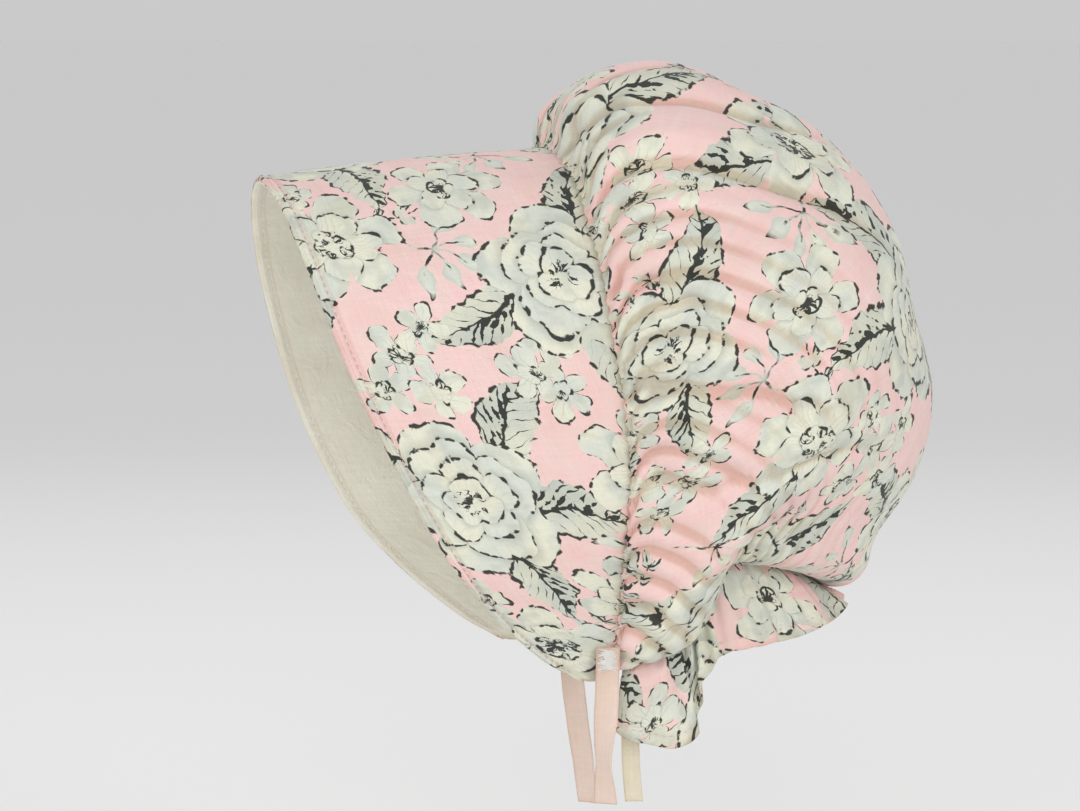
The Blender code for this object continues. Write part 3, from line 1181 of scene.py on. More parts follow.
@dataclass(frozen=True)
class BudsMotif:
    """The spray of buds: pointed buds on thin stalks that fan out from one stem."""

    spread: float = 40.0
    stalks: float = 5.0
    unevenness: float = 0.5
    bud_start: float = 0.40
    bud_length: float = 0.58
    bud_width: float = 0.62
    stalk: float = 0.024
    stalk_reach: float = 0.45
    stem_reach: float = 0.85
    rib: float = 0.02

    def group(self) -> Tree:
        """Build the motif's node group.

        Returns:
            The group, which puts out the spray's mask, shade and ink.
        """
        canvas, given, out = new_group("Motif buds", MOTIF_INPUTS, MOTIF_OUTPUTS)
        x, y = given["Place"].split()
        spread = math.radians(self.spread)
        turn = canvas.math("ARCTAN2", y, x) / spread
        cell = (turn + 0.5).fraction() - 0.5
        fan = abs(turn) < self.stalks / 2.0
        swing = (turn * 0.5).zigzag()
        distance = given["Place"].length() * swing.line(self.unevenness, 1.0)
        side = abs(cell * spread * distance)
        way = distance.line(1.0 / self.bud_length, -self.bud_start / self.bud_length)
        belly = way * (1.0 - way) * self.bud_width
        share = side / belly.most(0.0005)
        bud = share.ramp(1.08, 0.95) * fan
        stalk = (side < self.stalk) * (distance < self.stalk_reach) * fan
        stem = (abs(y) < self.stalk) * (x < 0.0) * (x > -self.stem_reach)
        stalk = stalk.most(stem)
        tip = bud * way.ramp(0.82, 0.92)
        rib = (side < self.rib) * way.ramp(0.45, 0.25) * bud * given["Strokes"]
        return canvas.give(out, {
            "Mask": bud.most(stalk),
            "Shade": share.ramp(0.2, 1.0) * 0.6,
            "Ink": (stalk * given["Strokes"]).most(tip.most(rib)),
        })


ROSE = FlowerMotif(
    Layer.ROSE,
    (
        PetalRing(5, 0.10, 1.00, 0.30), PetalRing(4, 0.55, 0.76, 0.26),
        PetalRing(5, 0.35, 0.53, 0.24), PetalRing(3, 0.20, 0.33, 0.30),
    ),
    veins=26.0, vein_strength=0.35, heart=0.20, bold=1.1,
)
OPEN_FLOWER = FlowerMotif(
    Layer.OPEN_FLOWER,
    (PetalRing(6, 0.00, 1.00, 0.52), PetalRing(5, 0.40, 0.62, 0.40), PetalRing(4, 0.10, 0.26, 0.30)),
    veins=40.0, vein_strength=0.6, heart=0.28, bold=1.3,
)
BLOSSOM = FlowerMotif(
    Layer.BLOSSOM,
    (PetalRing(5, 0.00, 1.00, 0.62), PetalRing(5, 0.50, 0.34, 0.30)),
    veins=15.0, vein_strength=0.8, heart=0.30, bold=2.6,
)


@dataclass(frozen=True)
class FloralPrint:
    """The printed pattern: a repeat of roses, open flowers, blossoms, leaves and sprigs.

    Drift and frill bend the motifs, in millimetres. The scales are those of their noise.
    """

    ground: Colour = (0.875, 0.605, 0.580, 1.0)
    ground_faded: Colour = (0.850, 0.635, 0.590, 1.0)
    petal: Colour = (0.775, 0.775, 0.640, 1.0)
    petal_cool: Colour = (0.680, 0.710, 0.630, 1.0)
    wash: Colour = (0.360, 0.390, 0.330, 1.0)
    ink: Colour = (0.012, 0.016, 0.014, 1.0)
    wash_strength: float = 0.52
    ink_strength: float = 0.95
    drift: float = 3.2
    drift_scale: float = 0.065
    frill: float = 0.9
    frill_scale: float = 0.24
    stroke_scale: float = 0.30
    spell_scale: float = 0.16
    wash_scale: float = 0.11

    def chart(self, canvas: Canvas, place: Value, layer: Layer) -> Value:
        """Find the nearest motif of one kind.

        Args:
            canvas: The print's canvas.
            place: The place on the cloth, in millimetres.
            layer: The kind of motif.

        Returns:
            The place within that motif, turned with it, 1 at its half length.
        """
        best = nearest = None
        half = Vector((REPEAT_WIDE / 2.0, REPEAT_LONG / 2.0, 0.0))
        for motif in MOTIFS[layer]:
            middle = Vector((motif.across, motif.along, 0.0))
            local = canvas.node(
                "Mapping",
                {
                    "Vector": canvas.vector("WRAP", place, middle + half, middle - half),
                    "Location": middle, "Rotation": (0.0, 0.0, math.radians(motif.turn)),
                    "Scale": (motif.size, motif.size, 1.0),
                },
                vector_type="TEXTURE",
            )["Vector"]
            length = local.length()
            if best is None:
                best, nearest = local, length
                continue
            best = canvas.choose(length < nearest, best, local)
            nearest = nearest.least(length)
        return best

    def bend(self, canvas: Canvas, place: Value, lumps: Value, reach: float) -> Value:
        """Shift places by a noise's colour, at most this far each way."""
        shift = canvas.vector("SUBTRACT", lumps, (0.5, 0.5, 0.5))
        return canvas.vector("MULTIPLY_ADD", shift, (reach * 2.0, reach * 2.0, 0.0), place)

    def group(self) -> Tree:
        """Build the whole print.

        Returns:
            The group, which puts out the cloth's printed colour.
        """
        canvas, given, out = new_group("Floral print", {"Place": (0.0, 0.0, 0.0)}, ("Print colour",))
        place = given["Place"].scaled(1.0 / MM)
        drift = canvas.clouds(place, self.drift_scale, 1.0)
        frill = canvas.clouds(place, self.frill_scale, 1.0)
        drawn = self.bend(canvas, place, drift["Color"], self.drift)
        drawn = self.bend(canvas, drawn, frill["Color"], self.frill)
        strokes = canvas.clouds(place, self.stroke_scale, 2.0)["Fac"].ramp(0.375, 0.555)
        strokes = strokes * canvas.clouds(place, self.spell_scale, 0.0)["Fac"].ramp(0.30, 0.46)
        wash = canvas.clouds(place, self.wash_scale, 2.0)["Fac"]
        ring = PetalDrawing().group()
        groups = {
            Layer.SPRIG: SprigMotif().group(), Layer.BUDS: BudsMotif().group(),
            Layer.LEAF: LeafMotif().group(), Layer.BLOSSOM: BLOSSOM.group(ring),
            Layer.OPEN_FLOWER: OPEN_FLOWER.group(ring), Layer.ROSE: ROSE.group(ring),
        }
        mask = shade = ink = None
        for layer in Layer:
            made = canvas.group(groups[layer], {
                "Place": self.chart(canvas, drawn, layer), "Strokes": strokes, "Wash": wash,
            })
            if mask is None:
                mask, shade, ink = (made[name] for name in MOTIF_OUTPUTS)
                continue
            ink = (ink * (1.0 - made["Mask"])).most(made["Ink"])
            mask = mask.most(made["Mask"])
            shade = canvas.blend(made["Mask"], shade, made["Shade"])
        ground = canvas.mix(wash.ramp(0.35, 0.65), self.ground, self.ground_faded)
        petal = canvas.mix(drift["Fac"].ramp(0.42, 0.60), self.petal, self.petal_cool)
        petal = canvas.mix(shade * self.wash_strength, petal, self.wash)
        colour = canvas.mix(mask, ground, petal)
        colour = canvas.mix(ink * self.ink_strength, colour, self.ink)
        return canvas.give(out, {"Print colour": colour})


# Shared cloth effects

SLUB_STRETCHES = ((900.0, 60.0, 1.0), (60.0, 900.0, 1.0))
BLOTCH_SCALE = 45.0


def weave_group() -> Tree:
    """Build the plain weave: threads that cross over and under, with thicker and thinner stretches.

    Returns:
        The group, which puts out the weave's height and the threads' change of tone.
    """
    canvas, given, out = new_group(
        "Plain weave", {"Place": (0.0, 0.0, 0.0), "Thread pitch": 0.00036, "Slub": 0.35},
        ("Height", "Tone"),
    )
    warp, weft = given["Place"].scaled(math.pi / given["Thread pitch"]).split()
    crossing = canvas.math("SINE", warp) * canvas.math("SINE", weft)
    wide, deep = (
        canvas.clouds(canvas.vector("MULTIPLY", given["Place"], stretch), 1.0, 1.0)["Fac"]
        for stretch in SLUB_STRETCHES
    )
    slub = (wide + deep - 1.0) * given["Slub"]
    return canvas.give(
        out, {"Height": crossing.line(0.5, slub), "Tone": crossing.line(0.06, slub * 0.22)}
    )


def shade_and_stains_group() -> Tree:
    """Build painted shade and old stains: warm shade in folds and at seams, yellowed edges, faint blotches.

    Returns:
        The group, which puts out the shaded and stained colour.
    """
    canvas, given, out = new_group(
        "Cloth age",
        {
            "Colour": (0.8, 0.8, 0.8, 1.0), "Place": (0.0, 0.0, 0.0), "Crease": 0.0, "Edge": 0.0,
            "Crease tint": 0.5, "Edge tint": 0.5, "Blotch": 0.2, "Stain": (0.62, 0.42, 0.24, 1.0),
            "Crease stain": (0.72, 0.56, 0.44, 1.0),
        },
        ("Aged colour",),
    )
    lumps = canvas.clouds(given["Place"], BLOTCH_SCALE, 4.0, Roughness=0.6)["Fac"]
    # Painted shade: a warm brown multiplied into folds, seams and cloth below overlaps.
    crease = (given["Crease"] * given["Crease tint"]).held()
    edge = (given["Edge"] * lumps.ramp(0.25, 0.65) * given["Edge tint"]).held()
    blotch = lumps.ramp(0.45, 0.75) * given["Blotch"]
    colour = canvas.mix(crease, given["Colour"], given["Crease stain"], "MULTIPLY")
    colour = canvas.mix(edge, colour, given["Stain"], "MULTIPLY")
    colour = canvas.mix(blotch, colour, given["Stain"], "MULTIPLY")
    return canvas.give(out, {"Aged colour": colour})


class Effects:
    """The shader groups that the finishes share, each built once."""

    def __init__(self) -> None:
        """Build the groups."""
        self.print = FloralPrint().group()
        self.weave = weave_group()
        self.age = shade_and_stains_group()


@dataclass(frozen=True)
class Finish:
    """What every cloth finish has: its name, weave, painted shade, worn look and the way it takes light."""

    name: str
    roughness: float = 0.88
    sheen: float = 0.12
    sheen_roughness: float = 0.5
    specular: float = 0.25
    thread_pitch: float = 0.00036
    weave_depth: float = 0.00005
    slub: float = 0.35
    crumple_scale: float = 130.0
    crumple_depth: float = 0.00035
    # How strongly the painted shade darkens the cloth.
    painted_shade_strength: float = 0.6
    edge_tint: float = 0.4
    blotch: float = 0.10

    def colour(self, canvas: Canvas, effects: Effects, place: Value) -> Value:
        """The clean cloth's colour, which each kind of finish gives."""
        raise NotImplementedError

    def material(self, effects: Effects) -> Material:
        """Build the finish.

        Args:
            effects: The shared shader groups.

        Returns:
            The material.
        """
        material = bpy.data.materials.new(self.name)
        material.use_nodes = True
        canvas = Canvas(material.node_tree)
        place = canvas.node("UVMap", uv_map=PRINT_MAP)["UV"]
        # Painted shade, read from the mesh.
        crease = canvas.node("Attribute", attribute_name=PAINTED_SHADE_ATTRIBUTE)["Fac"]
        edge = canvas.node("Attribute", attribute_name=EDGE)["Fac"]
        weave = canvas.group(
            effects.weave, {"Place": place, "Thread pitch": self.thread_pitch, "Slub": self.slub}
        )
        shaded_and_stained = canvas.group(effects.age, {
            "Colour": self.colour(canvas, effects, place), "Place": place, "Crease": crease,
            "Edge": edge, "Crease tint": self.painted_shade_strength, "Edge tint": self.edge_tint,
            "Blotch": self.blotch,
        })["Aged colour"]
        tone = weave["Tone"] + 1.0
        toned = canvas.node("CombineColor", {"Red": tone, "Green": tone, "Blue": tone})["Color"]
        crumple = canvas.clouds(place, self.crumple_scale, 3.0, Roughness=0.55, Distortion=0.6)
        soft = canvas.node("Bump", {
            "Height": crumple["Fac"], "Distance": self.crumple_depth, "Strength": 1.0,
        })
        fine = canvas.node("Bump", {
            "Height": weave["Height"], "Distance": self.weave_depth, "Strength": 1.0,
            "Normal": soft["Normal"],
        })
        canvas.give(material.node_tree.nodes["Principled BSDF"], {
            "Base Color": canvas.mix(1.0, shaded_and_stained, toned, "MULTIPLY"),
            "Roughness": weave["Tone"].line(0.4, self.roughness).held(),
            "Normal": fine["Normal"], "Sheen Weight": self.sheen,
            "Sheen Roughness": self.sheen_roughness, "Specular IOR Level": self.specular,
        })
        return material


@dataclass(frozen=True)
class PrintedCotton(Finish):
    """Thin cotton with the floral print, or its wrong side, where the print shows faintly through."""

    wrong_side: bool = False
    pale: Colour = (0.80, 0.66, 0.62, 1.0)
    paleness: float = 0.62

    def colour(self, canvas: Canvas, effects: Effects, place: Value) -> Value:
        """The printed colour, paler on the wrong side."""
        printed = canvas.group(effects.print, {"Place": place})["Print colour"]
        return canvas.mix(self.paleness, printed, self.pale) if self.wrong_side else printed


@dataclass(frozen=True)
class PlainCloth(Finish):
    """Undyed or evenly dyed cloth, which varies a little between two colours."""

    base: Colour = (0.87, 0.855, 0.745, 1.0)
    other: Colour = (0.80, 0.780, 0.66, 1.0)
    cloud_scale: float = 28.0

    def colour(self, canvas: Canvas, effects: Effects, place: Value) -> Value:
        """The two colours in soft clouds."""
        clouds = canvas.clouds(place, self.cloud_scale, 3.0)["Fac"]
        return canvas.mix(clouds.ramp(0.35, 0.70), self.base, self.other)


@dataclass(frozen=True)
class RibbonCloth(PlainCloth):
    """Narrow woven ribbon, coarser and shinier than cotton and hardly creased."""

    roughness: float = 0.7
    sheen: float = 0.2
    thread_pitch: float = 0.00045
    weave_depth: float = 0.00008
    crumple_depth: float = 0.0002


@dataclass(frozen=True)
class SewingThread(PlainCloth):
    """Smooth twisted thread."""

    roughness: float = 0.6
    crumple_depth: float = 0.0


class Wardrobe:
    """The finishes of the bonnet, one material for each."""

    def __init__(self, effects: Effects) -> None:
        """Build the materials."""
        self.print = PrintedCotton("printed_cotton").material(effects)
        self.print_back = PrintedCotton("printed_cotton_wrong_side", wrong_side=True).material(effects)
        self.lining = PlainCloth("lining_cotton", crumple_depth=0.0005).material(effects)
        self.pink_ribbon = RibbonCloth(
            "pink_ribbon", base=(0.82, 0.66, 0.58, 1.0), other=(0.76, 0.60, 0.50, 1.0)
        ).material(effects)
        self.cream_ribbon = RibbonCloth(
            "cream_ribbon", base=(0.84, 0.78, 0.62, 1.0), other=(0.76, 0.70, 0.52, 1.0)
        ).material(effects)
        self.thread = SewingThread(
            "sewing_thread", base=(0.92, 0.90, 0.86, 1.0), other=(0.86, 0.83, 0.78, 1.0)
        ).material(effects)
        self.pink_thread = SewingThread(
            "pink_sewing_thread", base=(0.85, 0.56, 0.57, 1.0), other=(0.78, 0.50, 0.50, 1.0)
        ).material(effects)


# Placing pieces

def place_piece(piece: bpy.types.Object, slot: str, *nodes: str) -> None:
    """Ride a piece on the bonnet and let it stand for its solids.

    Args:
        piece: The piece.
        slot: Not used.
        nodes: The solids that it replaces, if any.
    """
    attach(piece, BODY)
    if nodes:
        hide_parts(*nodes)
    log.info("%s: %d faces", piece.name, len(piece.data.polygons))


def declare_sheet(points: Array) -> None:
    """Measure a cloth's flat size on its grid."""
    wide, long, area = flat_size(points)


def sew(name: str, row: Stitches, width: float, material: Material, slot: str) -> None:
    """Sew a row of stitches onto the bonnet.

    Args:
        name: The row's name.
        row: The stitches, in millimetres.
        width: The thread's diameter in millimetres.
        material: The thread's finish.
        slot: The record's material slot.
    """
    mesh = thread_mesh(name, row, width)
    mesh.uv_layers.new(name=PRINT_MAP)
    mesh.materials.append(material)
    piece = bpy.data.objects.new(name, mesh)
    bpy.context.scene.collection.objects.link(piece)
    place_piece(piece, slot)


# Brim

@dataclass
class Brim:
    """The stiff brim: a printed cover rolled over its front edge, an ivory lining and topstitching.

    Lengths are in millimetres and roll angles in degrees, 0 on the outside and 180 on the inside.
    """

    wardrobe: Wardrobe
    columns: int = 360
    roll_rows: int = 9
    band_rows: int = 18
    body_rows: int = 40
    band: float = 8.0
    bulge: float = 1.0
    cloth: float = 0.5
    depth: float = 2.8
    thin_end: float = 0.35
    thins_from: float = 0.975
    cover_edge: float = 93.0
    lining_edge: float = 97.0
    stitch_inset: float = 3.3
    stitch_pitch: float = 2.7
    stitch_length: float = 2.1
    stitch_thread: float = 0.34
    stitch_reach: float = 0.985
    groove: float = 0.40
    groove_width: float = 0.55
    puff: float = 0.30
    ripples: tuple[Lumps, ...] = (Lumps(0.45, 30.0, 3.0), Lumps(0.1575, 11.0, 9.0))
    ripples_full: float = 14.0
    lining_follows: float = 0.35
    pucker: float = 0.40
    pucker_reach: float = 5.0
    pucker_pace: float = 310.0
    pucker_drift: float = 2.2
    drift_pace: float = 37.0
    edge_wear_width: float = 1.6
    end_wear_width: float = 2.2
    line_shade: float = 0.55
    line_shade_offset: float = 1.2
    line_shade_width: float = 0.6
    seam_shade: float = 0.5
    seam_shade_width: float = 2.5
    print_shift: tuple[float, float] = (0.052, 0.020)

    def face(self, across: Array, along: Array) -> Array:
        """The cover's plain outer face, as in the solids.

        Args:
            across: Places across.
            along: Places along, 0 at the front edge and 1 at the seam.

        Returns:
            The points of the face.
        """
        side = np.sign(across)
        front_x, front_y, front_z, seam_x, seam_y, seam_z = BRIM_TABLE.at(np.abs(across))
        front = on_side(side, front_x, front_y, front_z)
        seam = on_side(side, seam_x, seam_y, seam_z)
        outward = unit(on_side(side, seam_x, 0.0 * seam_y, seam_z - PIVOT_Z / 2))
        bulge = self.bulge * 4.0 * along * (1.0 - along)
        return front + (seam - front) * along[..., None] + outward * bulge[..., None]

    def length(self, across: Array) -> Array:
        """The brim's depth from front edge to seam at these places across."""
        ends = self.face(across, np.ones_like(across)) - self.face(across, np.zeros_like(across))
        return np.linalg.norm(ends, axis=-1)

    def half_depth(self, across: Array) -> Array:
        """Half the brim's thickness, which thins out where its two layers are closed at the ends."""
        thinned = (1.0 - self.thin_end) * ease(np.abs(across), self.thins_from, 1.0)
        return self.depth / 2.0 * (1.0 - thinned)

    def relief(self, across: Array, along: Array) -> Array:
        """Add up stitching, puff, ripples and puckers.

        Args:
            across: Places across.
            along: Places along.

        Returns:
            How far they lift the cover's face, in millimetres.
        """
        length = self.length(across)
        inset = along * length
        groove = -self.groove * bell((inset - self.stitch_inset) / self.groove_width)
        puff = self.puff * np.sin(np.pi * np.clip(inset / self.stitch_inset, 0.0, 1.0))
        calm = ease(inset, self.stitch_inset + 0.6, self.ripples_full)
        ripple = uneven(self.face(across, along), *self.ripples) * calm
        drift = self.pucker_drift * np.sin(across * self.drift_pace)
        pucker = np.sin(across * self.pucker_pace + drift)
        drawn = pucker * bell((1.0 - along) * length / self.pucker_reach)
        return groove + puff + ripple + self.pucker * drawn

    def sheet(self, across: Array, inset: Array, roll: Array, inner: bool) -> Array:
        """Lay a layer of the brim.

        Args:
            across: Places across.
            inset: Distances from the front edge in millimetres.
            roll: Angles round the front edge, where the layer rolls over it, and NaN elsewhere.
            inner: Whether it is the lining's face.

        Returns:
            The layer's points.
        """
        edge = np.zeros_like(across)
        normal = normals_of(self.face, across, edge)
        back = unit(self.face(across, edge + 0.02) - self.face(across, edge))
        half = self.half_depth(across)[..., None]
        middle = self.face(across, edge) + back * half - normal * half
        angle = np.nan_to_num(roll)[..., None]
        rolled = middle + half * (normal * np.cos(angle) - back * np.sin(angle))
        along = np.maximum(inset, self.half_depth(across)) / self.length(across)
        lift = self.relief(across, along)[..., None]
        turn = normals_of(self.face, across, along)
        raised = -(2.0 * half + self.lining_follows * lift) if inner else lift
        return np.where(np.isnan(roll)[..., None], self.face(across, along) + turn * raised, rolled)

    def rows(self, first_roll: float, last_roll: float) -> tuple[Array, Array]:
        """The insets and roll angles of a layer's rows, from its edge back to the seam.

        Args:
            first_roll: The angle round the front edge where the layer ends.
            last_roll: The angle where it leaves the roll.

        Returns:
            Insets as shares, 0 on the roll, up to 1 over the band and up to 2 at the seam, and
            roll angles in radians.
        """
        roll = np.radians(np.linspace(first_roll, last_roll, self.roll_rows))
        nothing = np.full(self.band_rows + self.body_rows, np.nan)
        band = np.linspace(0.0, 1.0, self.band_rows, endpoint=False)
        body = np.linspace(1.0, 2.0, self.body_rows)
        return np.concatenate([np.zeros(self.roll_rows), band, body]), np.concatenate([roll, nothing])

    def layer(self, first_roll: float, last_roll: float, inner: bool) -> Array:
        """Lay one layer.

        Args:
            first_roll: The angle round the front edge where it ends.
            last_roll: The angle where it leaves the roll.
            inner: Whether it is the lining.

        Returns:
            Its grid of points.
        """
        share, roll = self.rows(first_roll, last_roll)
        columns = np.linspace(-1.0, 1.0, self.columns)
        across = np.broadcast_to(columns, (len(share), self.columns)).copy()
        roll = np.broadcast_to(roll[:, None], across.shape)
        length = self.length(across)
        start = self.half_depth(across)
        band = np.minimum(self.band, 0.5 * length)
        near = start + (band - start) * np.minimum(share, 1.0)[:, None]
        far = (length - band) * np.maximum(share - 1.0, 0.0)[:, None]
        return self.sheet(across, near + far, roll, inner)

    def edge_wear(self, points: Array) -> Array:
        """Find the worn edges.

        Args:
            points: A layer's grid.

        Returns:
            How near each point is to the front edge or the ends, from 1 at the edge to 0.
        """
        from_edge, from_right, from_left = (
            np.linalg.norm(points - line, axis=-1) for line in (points[:1], points[:, :1], points[:, -1:])
        )
        worn_ends = bell(np.minimum(from_right, from_left) / self.end_wear_width)
        return np.maximum(bell(from_edge / self.edge_wear_width), worn_ends)

    def painted_shade(self, points: Array) -> Array:
        """Shade the cloth along the topstitching and at the crown's seam.

        Args:
            points: A layer's grid.

        Returns:
            The shade's strength at each point.
        """
        from_edge = np.linalg.norm(points - points[:1], axis=-1)
        from_seam = np.linalg.norm(points - points[-1:], axis=-1)
        past_line = from_edge - self.stitch_inset - self.line_shade_offset
        line = self.line_shade * bell(past_line / self.line_shade_width)
        return np.maximum(line, self.seam_shade * bell(from_seam / self.seam_shade_width))

    def topstitch(self, inner: bool) -> None:
        """Sew the line of topstitching on one face.

        Args:
            inner: Whether it is the lining's face.
        """
        across = np.linspace(-self.stitch_reach, self.stitch_reach, 1600)
        along = self.stitch_inset / self.length(across)
        turn = normals_of(self.face, across, along)
        sink = 2.0 * self.half_depth(across)[..., None] - 0.12 if inner else self.groove * 0.75
        line = self.face(across, along) - turn * sink
        row = stitch_line(line, -turn if inner else turn, self.stitch_pitch, self.stitch_length)
        if inner:
            sew("lining_topstitch", row, self.stitch_thread, self.wardrobe.thread, "lining_cotton")
        else:
            sew("brim_topstitch", row, self.stitch_thread, self.wardrobe.pink_thread, "printed_cotton")

    def build(self) -> None:
        """Build the cover, the lining and their topstitching."""
        cover_points = self.layer(self.cover_edge, 0.0, inner=False)
        cover = ClothGrid(
            "brim_cover_cloth", cover_points, flat_places(cover_points) + np.array(self.print_shift),
            self.cloth, -1.0, self.painted_shade(cover_points), self.edge_wear(cover_points),
        ).build([self.wardrobe.print, self.wardrobe.print_back])
        place_piece(cover, "printed_cotton", "brim_cover")
        lining_points = self.layer(self.lining_edge, 180.0, inner=True)
        lining = ClothGrid(
            "brim_lining_cloth", lining_points, flat_places(lining_points),
            self.cloth, 1.0, self.painted_shade(lining_points), self.edge_wear(lining_points),
        ).build([self.wardrobe.lining])
        place_piece(lining, "lining_cotton", "brim_lining")
        self.topstitch(inner=False)
        self.topstitch(inner=True)
        declare_sheet(cover_points)
        declare_sheet(lining_points)


# Gathers

class Pleat(NamedTuple):
    """One small gather: its place, reach along the cloth, depth, half width and lean."""

    place: float
    reach: float
    depth: float
    width: float
    lean: float


def scatter_pleats(
    seed: int, count: int, reach: tuple[float, float], depth: tuple[float, float], width: float
) -> list[Pleat]:
    """Space small gathers unevenly over a piece.

    Args:
        seed: The random draw.
        count: How many gathers.
        reach: The shortest and longest.
        depth: The shallowest and deepest, in millimetres.
        width: Half the width of a gather, as a share of the piece's half.

    Returns:
        The gathers, from the wearer's right to left.
    """
    draw = np.random.default_rng(seed)
    places = np.linspace(-0.99, 0.99, count) + draw.uniform(-0.45, 0.45, count) * 1.98 / count
    reaches = reach[0] + (reach[1] - reach[0]) * draw.random(count) ** 2.2
    depths = draw.uniform(*depth, count)
    widths = width * draw.uniform(0.7, 1.4, count)
    leans = draw.uniform(-0.25, 0.25, count)
    return [Pleat(*map(float, row)) for row in zip(places, reaches, depths, widths, leans)]


def pleat_relief(pleats: Sequence[Pleat], across: Array, distance: Array) -> Array:
    """How far small gathers lift the cloth.

    Args:
        pleats: The gathers.
        across: Places across.
        distance: Distances from the gathered edge, in the same shares as the gathers' reach.

    Returns:
        The lift in millimetres, for each place.
    """
    lift = np.zeros_like(across)
    for pleat in pleats:
        offset = (across - pleat.place - pleat.lean * distance) / pleat.width
        spread = 1.0 + 1.5 * distance / pleat.reach
        fade = np.exp(-((distance / pleat.reach) ** 1.4))
        lift += pleat.depth * fade * (0.55 * bell((offset + 1.5) / spread) - valley(offset / spread))
    return lift


def finer(values: Array, axis: int, factor: int) -> Array:
    """Put smooth steps between a grid's values.

    Args:
        values: The grid.
        axis: The direction to refine.
        factor: How many steps replace one.

    Returns:
        The finer grid, which keeps the first and last values.
    """
    rows = np.moveaxis(values, axis, 0)
    padded = np.concatenate([2 * rows[:1] - rows[1:2], rows, 2 * rows[-1:] - rows[-2:-1]])
    four = padded[:-3], padded[1:-2], padded[2:-1], padded[3:]
    steps = [between(*four, step) for step in np.arange(factor) / factor]
    merged = np.stack(steps, axis=1).reshape((-1,) + rows.shape[1:])
    return np.moveaxis(np.concatenate([merged, rows[-1:]]), 0, axis)


@dataclass
class ClothRelaxer:
    """Lets gathered cloth buckle into folds: a small cloth simulation on a grid of points.

    Each round pulls the threads both ways towards their cut lengths, resists shear and bending,
    and pushes the cloth gently outwards. Points near the sewn edges are held.
    """

    rounds: int = 240
    bend_across: float = 0.06
    bend_along: float = 0.16
    push: float = 0.01
    stretch: float = 0.85
    shear: float = 0.12
    keep: float = 0.003
    turns_out_every: int = 8

    def pull(self, one: Array, other: Array, rest: Array, strength: float) -> None:
        """Bring pairs of points nearer to their rest lengths, in place.

        Args:
            one: The first point of each pair.
            other: The second.
            rest: Their rest lengths.
            strength: The share of the way that they move.
        """
        apart = other - one
        length = np.maximum(np.linalg.norm(apart, axis=-1, keepdims=True), 1e-6)
        step = apart * (0.5 * strength * (1.0 - rest[..., None] / length))
        one += step
        other -= step

    def relax(self, start: Array, wide: Array, deep: Array, held: Array, reach: Array) -> Array:
        """Run the simulation.

        Args:
            start: The cloth's points in millimetres, rows along it and columns across it.
            wide: Rest lengths of the threads that run across.
            deep: Rest lengths of the threads that run along.
            held: Which points stay where they are.
            reach: How far each point may move, in millimetres.

        Returns:
            The points of the buckled cloth.
        """
        points = start.copy()
        slant = np.hypot((wide[:-1] + wide[1:]) / 2.0, (deep[:, :-1] + deep[:, 1:]) / 2.0)
        for turn in range(self.rounds):
            for odd in (0, 1):
                count = (points.shape[1] - odd) // 2 * 2
                row = points[:, odd : odd + count]
                self.pull(row[:, 0::2], row[:, 1::2], wide[:, odd : odd + count : 2], self.stretch)
                count = (points.shape[0] - odd) // 2 * 2
                column = points[odd : odd + count]
                self.pull(column[0::2], column[1::2], deep[odd : odd + count : 2], self.stretch)
                lean = slant[odd : odd + count : 2]
                self.pull(column[0::2, :-1], column[1::2, 1:], lean, self.shear)
                self.pull(column[0::2, 1:], column[1::2, :-1], lean, self.shear)
            moved = points - start
            points[:, 2:-2] += self.bend_across * ((moved[:, :-4] + moved[:, 4:]) / 2.0 - moved[:, 2:-2])
            points[2:-2] += self.bend_along * ((moved[:-4] + moved[4:]) / 2.0 - moved[2:-2])
            if turn % self.turns_out_every == 0:
                out = grid_normals(points)
            points += self.push * out + self.keep * (start - points)
            moved = points - start
            far = np.maximum(np.linalg.norm(moved, axis=-1, keepdims=True), 1e-6)
            points = start + moved * np.minimum(1.0, reach[..., None] / far)
            points = np.where(held[..., None], start, points)
        return points


@dataclass
class Gathering:
    """How a cloth's extra width is shared out, and the folding that follows from it.

    Seam and casing give the extra width at the first and last rows as shares, reach how far from
    them it fades to about a third, and freedom how far a point may move, both in millimetres.
    """

    seam: float
    casing: float
    reach: float
    freedom: float
    slack: float
    steps: tuple[int, int]
    lumps: Lumps
    free_end: bool = False
    least: float = 0.15
    most: float = 2.0
    sewn_freedom: float = 0.3
    sewn_reach: float = 12.0

    def fold(self, points: Array) -> Array:
        """Fold the cloth on a coarse grid and carry the folds over to the fine one.

        Args:
            points: The fine grid, whose rows and columns are a whole number of steps.

        Returns:
            The folded fine grid.
        """
        start = points[:: self.steps[0], :: self.steps[1]]
        wide, deep = thread_lengths(start)
        way = way_down(deep)
        back = way[-1:] - way
        extra = self.seam * np.exp(-way / self.reach) + self.casing * np.exp(-back / self.reach)
        extra = extra * np.clip(1.0 + uneven(start, self.lumps), self.least, self.most)
        extra = (extra[:, 1:] + extra[:, :-1]) / 2.0 + self.slack
        held = np.zeros(start.shape[:2], bool)
        held[:2] = held[:, :1] = held[:, -1:] = True
        held[-2:] = not self.free_end
        near = way if self.free_end else np.minimum(way, back)
        room = self.sewn_freedom + self.freedom * ease(near, 0.0, self.sewn_reach)
        cut_wide, cut_deep = wide * (1.0 + extra), deep * (1.0 + self.slack)
        moved = ClothRelaxer().relax(start, cut_wide, cut_deep, held, room) - start
        for axis in (0, 1):
            moved = finer(moved, axis, self.steps[axis])
        return points + moved


# Crown

